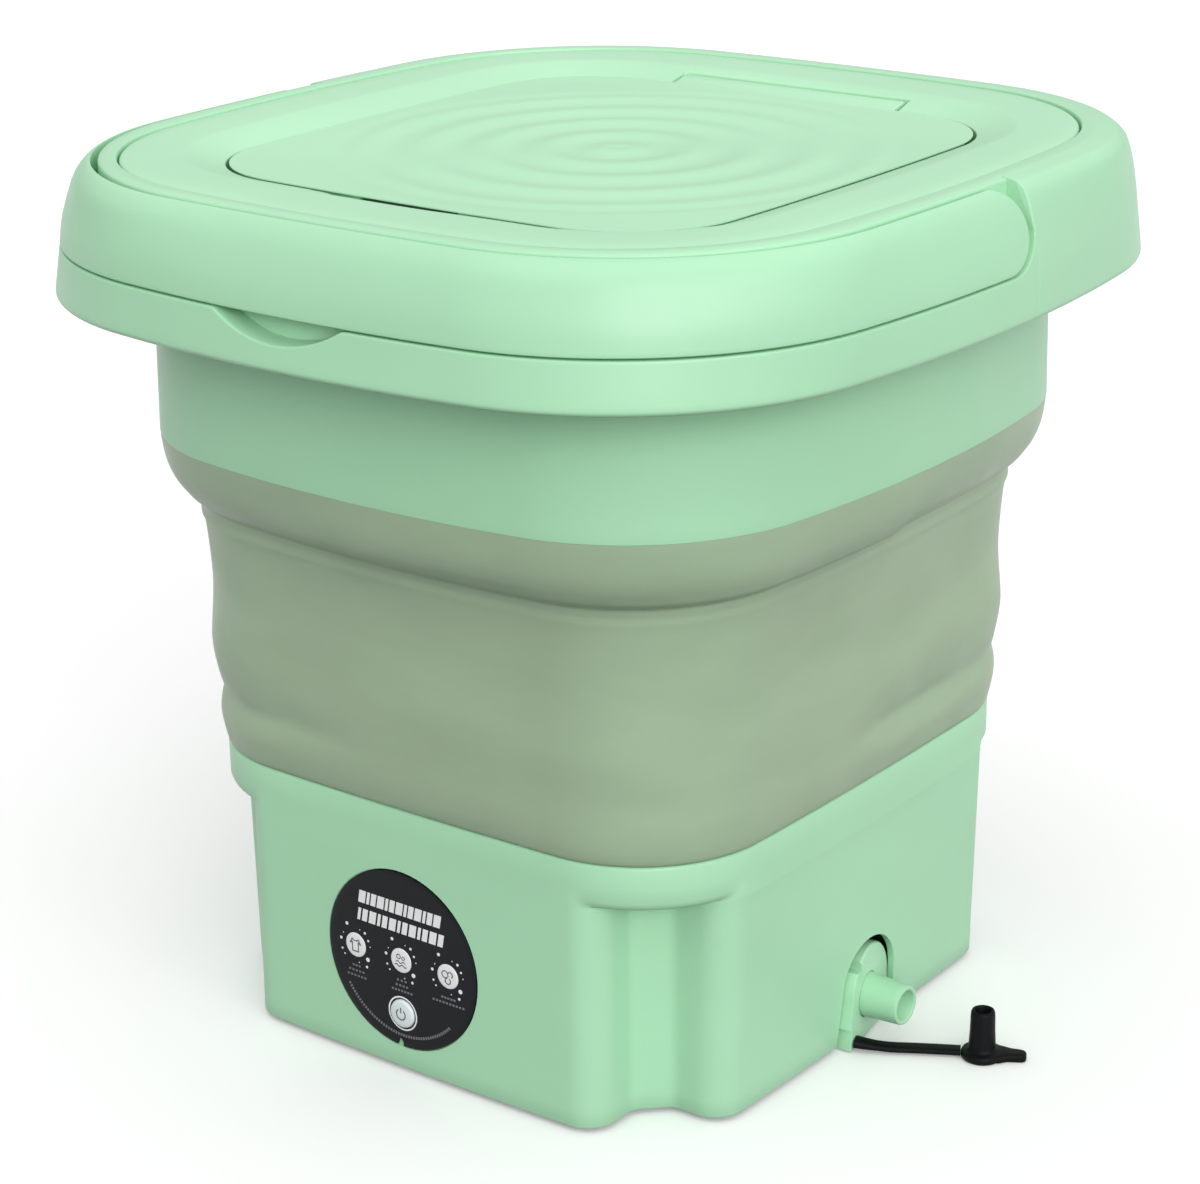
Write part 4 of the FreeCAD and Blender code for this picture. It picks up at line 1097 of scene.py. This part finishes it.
captions = []
for u, v, lengths in ((-20.0, -7.6, (4.0, 7.5, 9.0)), (0.0, -7.4, (5.0, 6.0, 9.5)),
                      (20.0, -8.0, (6.5, 14.0))):
    for line, length in enumerate(lengths):
        steps = max(3, int(length / 1.3))
        for i in range(steps):
            x = u - length / 2 + length * (i + 0.5) / steps
            captions.append(bar(x - 0.42, v - line * 1.9, x + 0.42, v - line * 1.9, 0.75))
captions += ring_bars(0, 0, 27.6, 1.0, 212, 318, 46, 0.62)
printed("panel_captions", captions, INK, "graphic_grey")
printed("button_ring", ring_bars(*BUTTON_PLACE, BUTTON_R + 0.95, 0.55, 0, 360, 48), INK, "graphic_white")

ICON_INK = 0.62
BUTTON_INK = 1.42
u, v = LENS_PLACES[0]
shirt = [bar(u + a, v + b, u + c, v + d, 0.4) for a, b, c, d in (
    (-1.3, -2.2, -1.3, 1.2), (1.3, -2.2, 1.3, 1.2), (-1.5, -2.2, 1.5, -2.2), (-1.4, 1.1, -2.4, 0.4),
    (1.4, 1.1, 2.4, 0.4), (-2.3, 0.5, -1.3, 2.3), (2.3, 0.5, 1.3, 2.3), (-1.4, 2.2, -0.5, 1.6),
    (1.4, 2.2, 0.5, 1.6), (-0.6, 1.6, 0.6, 1.6))]
u, v = LENS_PLACES[1]
drops = wave_line(u - 2.5, v - 1.8, 5.0, 0.35, 2.5, 0.45, 16)
drops += wave_line(u - 2.0, v - 0.6, 4.0, 0.35, 2.5, 0.4, 12)
drops += ring_bars(u - 0.9, v + 1.4, 0.8, 0.35, 0, 360, 12)
drops += ring_bars(u + 1.1, v + 1.1, 0.6, 0.3, 0, 360, 10)
u, v = LENS_PLACES[2]
cloud = ring_bars(u - 1.0, v + 0.7, 1.25, 0.4, 20, 330, 14)
cloud += ring_bars(u + 1.2, v + 0.9, 1.0, 0.4, -60, 230, 12)
cloud += ring_bars(u + 0.2, v - 1.5, 1.1, 0.4, 100, 420, 14)
printed("panel_icons", shirt + drops + cloud, ICON_INK, "graphic_ink", thick=0.04)
u, v = BUTTON_PLACE
power_mark = ring_bars(u, v, 1.9, 0.45, 125, 415, 22) + [bar(u, v + 0.5, u, v + 2.5, 0.45)]
printed("button_mark", power_mark, BUTTON_INK, "graphic_ink", body="power_button", thick=0.06)


# ---- drain

SPOUT_Y = 0.5
SPOUT_Z = 16.0
# Profiles of turned pieces are (radius, distance along the axis).
SPOUT = [(5.2, 100.7), (8.1, 100.7), (7.9, 104.0), (7.35, 113.0), (6.95, 120.5), (6.9, 121.8), (6.75, 122.3),
         (6.4, 122.5), (5.75, 122.5), (5.4, 122.3), (5.2, 121.9), (5.2, 112.0), (5.2, 100.7)]
spout = spin("spout_skin", SPOUT, (0, SPOUT_Y, SPOUT_Z), (1, 0, 0), "mint_plastic", "base", 64)
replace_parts(spout, "drain_spout")


def plate_face(y):
    """Outer face of the drain plate: proud at its left edge and slanting back to the right."""
    return 110.4 - (y - (DRAIN_Y - 20.0)) * 7.4 / 40.0


def build_drain_plate():
    """Arch-shaped flap with a slanted outer face, a step low on its left edge and a notch near the top."""
    half = DRAIN_HALF - 0.5
    spring = DRAIN_SPRING - 2.6
    steps = 36
    left = DRAIN_Y - half
    edge = [(DRAIN_Y + half, 1.0 + (spring - 1.0) * i / 9) for i in range(9)]
    edge += [polar(DRAIN_Y, spring, half, math.pi * i / steps) for i in range(steps + 1)]
    for i in range(1, 7):
        z = spring - (spring - 8.4) * i / 6
        edge.append((left - DRAIN_SPLAY * (1 - z / spring), z))
    foot = left - DRAIN_SPLAY
    edge += [(foot + 2.9, 8.1), (foot + 2.3, 4.0), (foot + 1.9, 0.6), (foot + 3.4, 0.2)]
    edge += [(foot + 3.4 + (DRAIN_Y + half - foot - 3.4) * i / 12, 0.2 + 0.6 * i / 12) for i in range(1, 13)]
    centre = (SPOUT_Y, SPOUT_Z - 1.0)
    rows = []
    for back, depth in ((0.9, 0.0), (0.35, 0.12), (0.0, 0.7)):
        rows.append([(plate_face(y) - depth, centre[0] + (y - centre[0]) * (1 - back / 16),
                      centre[1] + (z - centre[1]) * (1 - back / 16)) for y, z in edge])
    rows.append([(100.7, y, z) for y, z in edge])
    verts = [p for row in rows for p in row]
    faces = capped(len(rows), len(edge), True)
    plate = make_piece("drain_plate_skin", verts, faces, "mint_plastic", None, 30.0)
    hole = circle((98.0, SPOUT_Y, SPOUT_Z), 8.0, "x", 64)
    notch = [(98.0, DRAIN_Y - 17.0, 27.4), (98.0, DRAIN_Y - 9.0, 27.4), (98.0, DRAIN_Y - 7.4, 36.0),
             (98.0, DRAIN_Y - 17.0, 36.0)]
    cut(plate, [cutter("cut_spout", hole, (1, 0, 0), 20.0), cutter("cut_step", notch, (1, 0, 0), 20.0)])
    finish_piece(plate, "mint_plastic", "base", 30.0)
    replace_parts(plate, "drain_plate")


build_drain_plate()

# The strap's route, from the plate to the plug.
STRAP_ROUTE = [(109.4, -11.0, 3.4), (117.5, -6.8, 2.0), (128.0, 0.4, 1.8), (140.2, 7.2, 1.8)]
STRAP_WIDTH = 5.2
STRAP_THICK = 2.3


def route_points():
    """Points along the strap's centreline, read from one open NURBS spline."""
    curve = bpy.data.curves.new("strap_route", "CURVE")
    curve.dimensions = "3D"
    curve.resolution_u = 12
    spline = curve.splines.new("NURBS")
    spline.points.add(len(STRAP_ROUTE) - 1)
    for entry, (x, y, z) in zip(spline.points, STRAP_ROUTE):
        entry.co = (x * MM, y * MM, z * MM, 1.0)
    spline.order_u = 3
    spline.use_endpoint_u = True
    holder = link("strap_route", curve)
    mesh = bpy.data.meshes.new_from_object(holder.evaluated_get(bpy.context.evaluated_depsgraph_get()))
    points = [vertex.co / MM for vertex in mesh.vertices]
    bpy.data.objects.remove(holder)
    return points


def build_strap():
    """Flat strap with rounded edges, wider and thicker where it leaves the plate."""
    route = route_points()
    verts = []
    steps = 20
    for i, place in enumerate(route):
        along = (route[min(i + 1, len(route) - 1)] - route[max(i - 1, 0)]).normalized()
        side = along.cross(Vector((0, 0, 1))).normalized()
        up = side.cross(along)
        share = i / (len(route) - 1)
        root = max(0.0, 1 - share / 0.22)
        wide = STRAP_WIDTH / 2 * (1 + 0.12 * root)
        thick = STRAP_THICK / 2 * (1 + 0.4 * root)
        for a in turns(steps):
            u = math.copysign(abs(math.cos(a)) ** 0.5, math.cos(a)) * wide
            v = math.copysign(abs(math.sin(a)) ** 0.7, math.sin(a)) * thick
            verts.append(place + side * u + up * v)
    strap = make_piece("strap_skin", verts, capped(len(route), steps), "black_rubber", "base", 50.0)
    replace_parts(strap, "drain_strap")
    return strap, route


PLUG = (146.6, 10.4)
PLUG_TURN = math.radians(25.0)


def build_plug():
    """Rubber plug: round foot with a rounded edge, a tapered hollow stem and a pointed pull tab."""
    steps = 56
    profile = [(0.0, 0.2), (6.7, 0.2), (7.1, 0.7), (7.1, 2.1), (6.8, 2.7), (6.2, 2.95), (5.3, 3.1),
               (4.75, 3.6), (4.6, 4.6), (4.3, 10.0), (4.15, 15.6), (4.05, 16.9), (3.75, 17.6), (3.3, 17.8),
               (2.95, 17.6), (2.7, 17.0), (2.6, 10.5), (1.8, 9.8), (0.0, 9.8)]
    stem = spin("plug_skin", profile, (PLUG[0], PLUG[1], 0), (0, 0, 1), "black_rubber", "base", steps, 60.0)
    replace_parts(stem, "drain_plug")
    outline = [(3.0, -5.4), (6.6, -4.4), (9.0, -2.9), (12.0, -2.5), (14.3, -2.3), (14.9, -1.4), (15.0, 0.2),
               (14.6, 1.7), (13.0, 2.4), (10.0, 3.1), (7.4, 4.4), (4.0, 5.6), (0.0, 5.8), (0.0, -5.6)]
    levels = [(0.9, 0.2, 0.0), (1.0, 0.55, 0.0), (1.0, 2.0, 0.5), (0.93, 2.5, 0.6), (0.80, 2.7, 0.6)]
    rows = []
    for shrink, z0, rise in levels:
        row = []
        for u, v in outline:
            u2, v2 = 5.0 + (u - 5.0) * shrink, v * shrink
            z = z0 + rise * max(0.0, (u2 - 7.0) / 8.0)
            row.append((PLUG[0] + u2 * math.cos(PLUG_TURN) - v2 * math.sin(PLUG_TURN),
                        PLUG[1] + u2 * math.sin(PLUG_TURN) + v2 * math.cos(PLUG_TURN), z))
        rows.append(row)
    verts = [p for row in rows for p in row]
    tab = make_piece("plug_tab", verts, capped(len(rows), len(outline), True), "black_rubber", "base", 60.0)
    return stem, tab


strap, strap_path = build_strap()
stem, tab = build_plug()


# ---- CAD pieces that stay

for node in frame["nodes"].values():
    if node.hide_render:
        continue
    wanted = next(part["material_slot"] for part in frame["record"]["subparts"] if part["node"] == node.name)
    node.data.materials.clear()
    node.data.materials.append(MATERIALS[wanted])


# ---- floor and light

def add_floor():
    mesh = bpy.data.meshes.new("floor")
    mesh.from_pydata([(-30, -30, 0), (30, -30, 0), (30, 30, 0), (-30, 30, 0)], [], [(0, 1, 2, 3)])
    floor = link("floor", mesh)
    material, tree, shader = new_material("floor")
    cloud = noise(tree, 0.8, 2.0)
    tone = mix_colour(tree, cloud, (0.90, 0.90, 0.90), (0.93, 0.93, 0.93))
    tree.links.new(tone, shader.inputs["Base Color"])
    shader.inputs["Roughness"].default_value = 0.9
    shader.inputs["Specular IOR Level"].default_value = 0.1
    shader.inputs["Emission Color"].default_value = (1.0, 1.0, 1.0, 1.0)
    shader.inputs["Emission Strength"].default_value = 0.12
    mesh.materials.append(material)
    floor.visible_diffuse = False


def add_sun(name, direction, strength, softness):
    """Sun from a direction, given as the vector from the object towards the light; softness in degrees."""
    data = bpy.data.lights.new(name, "SUN")
    data.energy = strength
    data.angle = math.radians(softness)
    light = link(name, data)
    light.rotation_euler = Vector(direction).to_track_quat("Z", "Y").to_euler()


def add_world(above, below):
    """White dome, bright above the horizon and fading out below it."""
    world = bpy.data.worlds.new("studio")
    bpy.context.scene.world = world
    world.use_nodes = True
    tree = world.node_tree
    place = tree.nodes.new("ShaderNodeTexCoord")
    split = tree.nodes.new("ShaderNodeSeparateXYZ")
    tree.links.new(place.outputs["Generated"], split.inputs["Vector"])
    level = remap(tree, split.outputs["Z"], below, above, -0.25, 0.35)
    background = tree.nodes["Background"]
    background.inputs["Color"].default_value = (1.0, 1.0, 1.0, 1.0)
    tree.links.new(level, background.inputs["Strength"])


add_floor()
add_world(0.82, 0.05)
add_sun("overhead", (0.1, -0.3, 1.0), 0.30, 50.0)
add_sun("corner", (1.0, -1.0, 0.5), 1.25, 35.0)
add_sun("right", (1.0, -0.2, 0.4), 0.64, 35.0)
bpy.context.scene.view_settings.view_transform = "Standard"
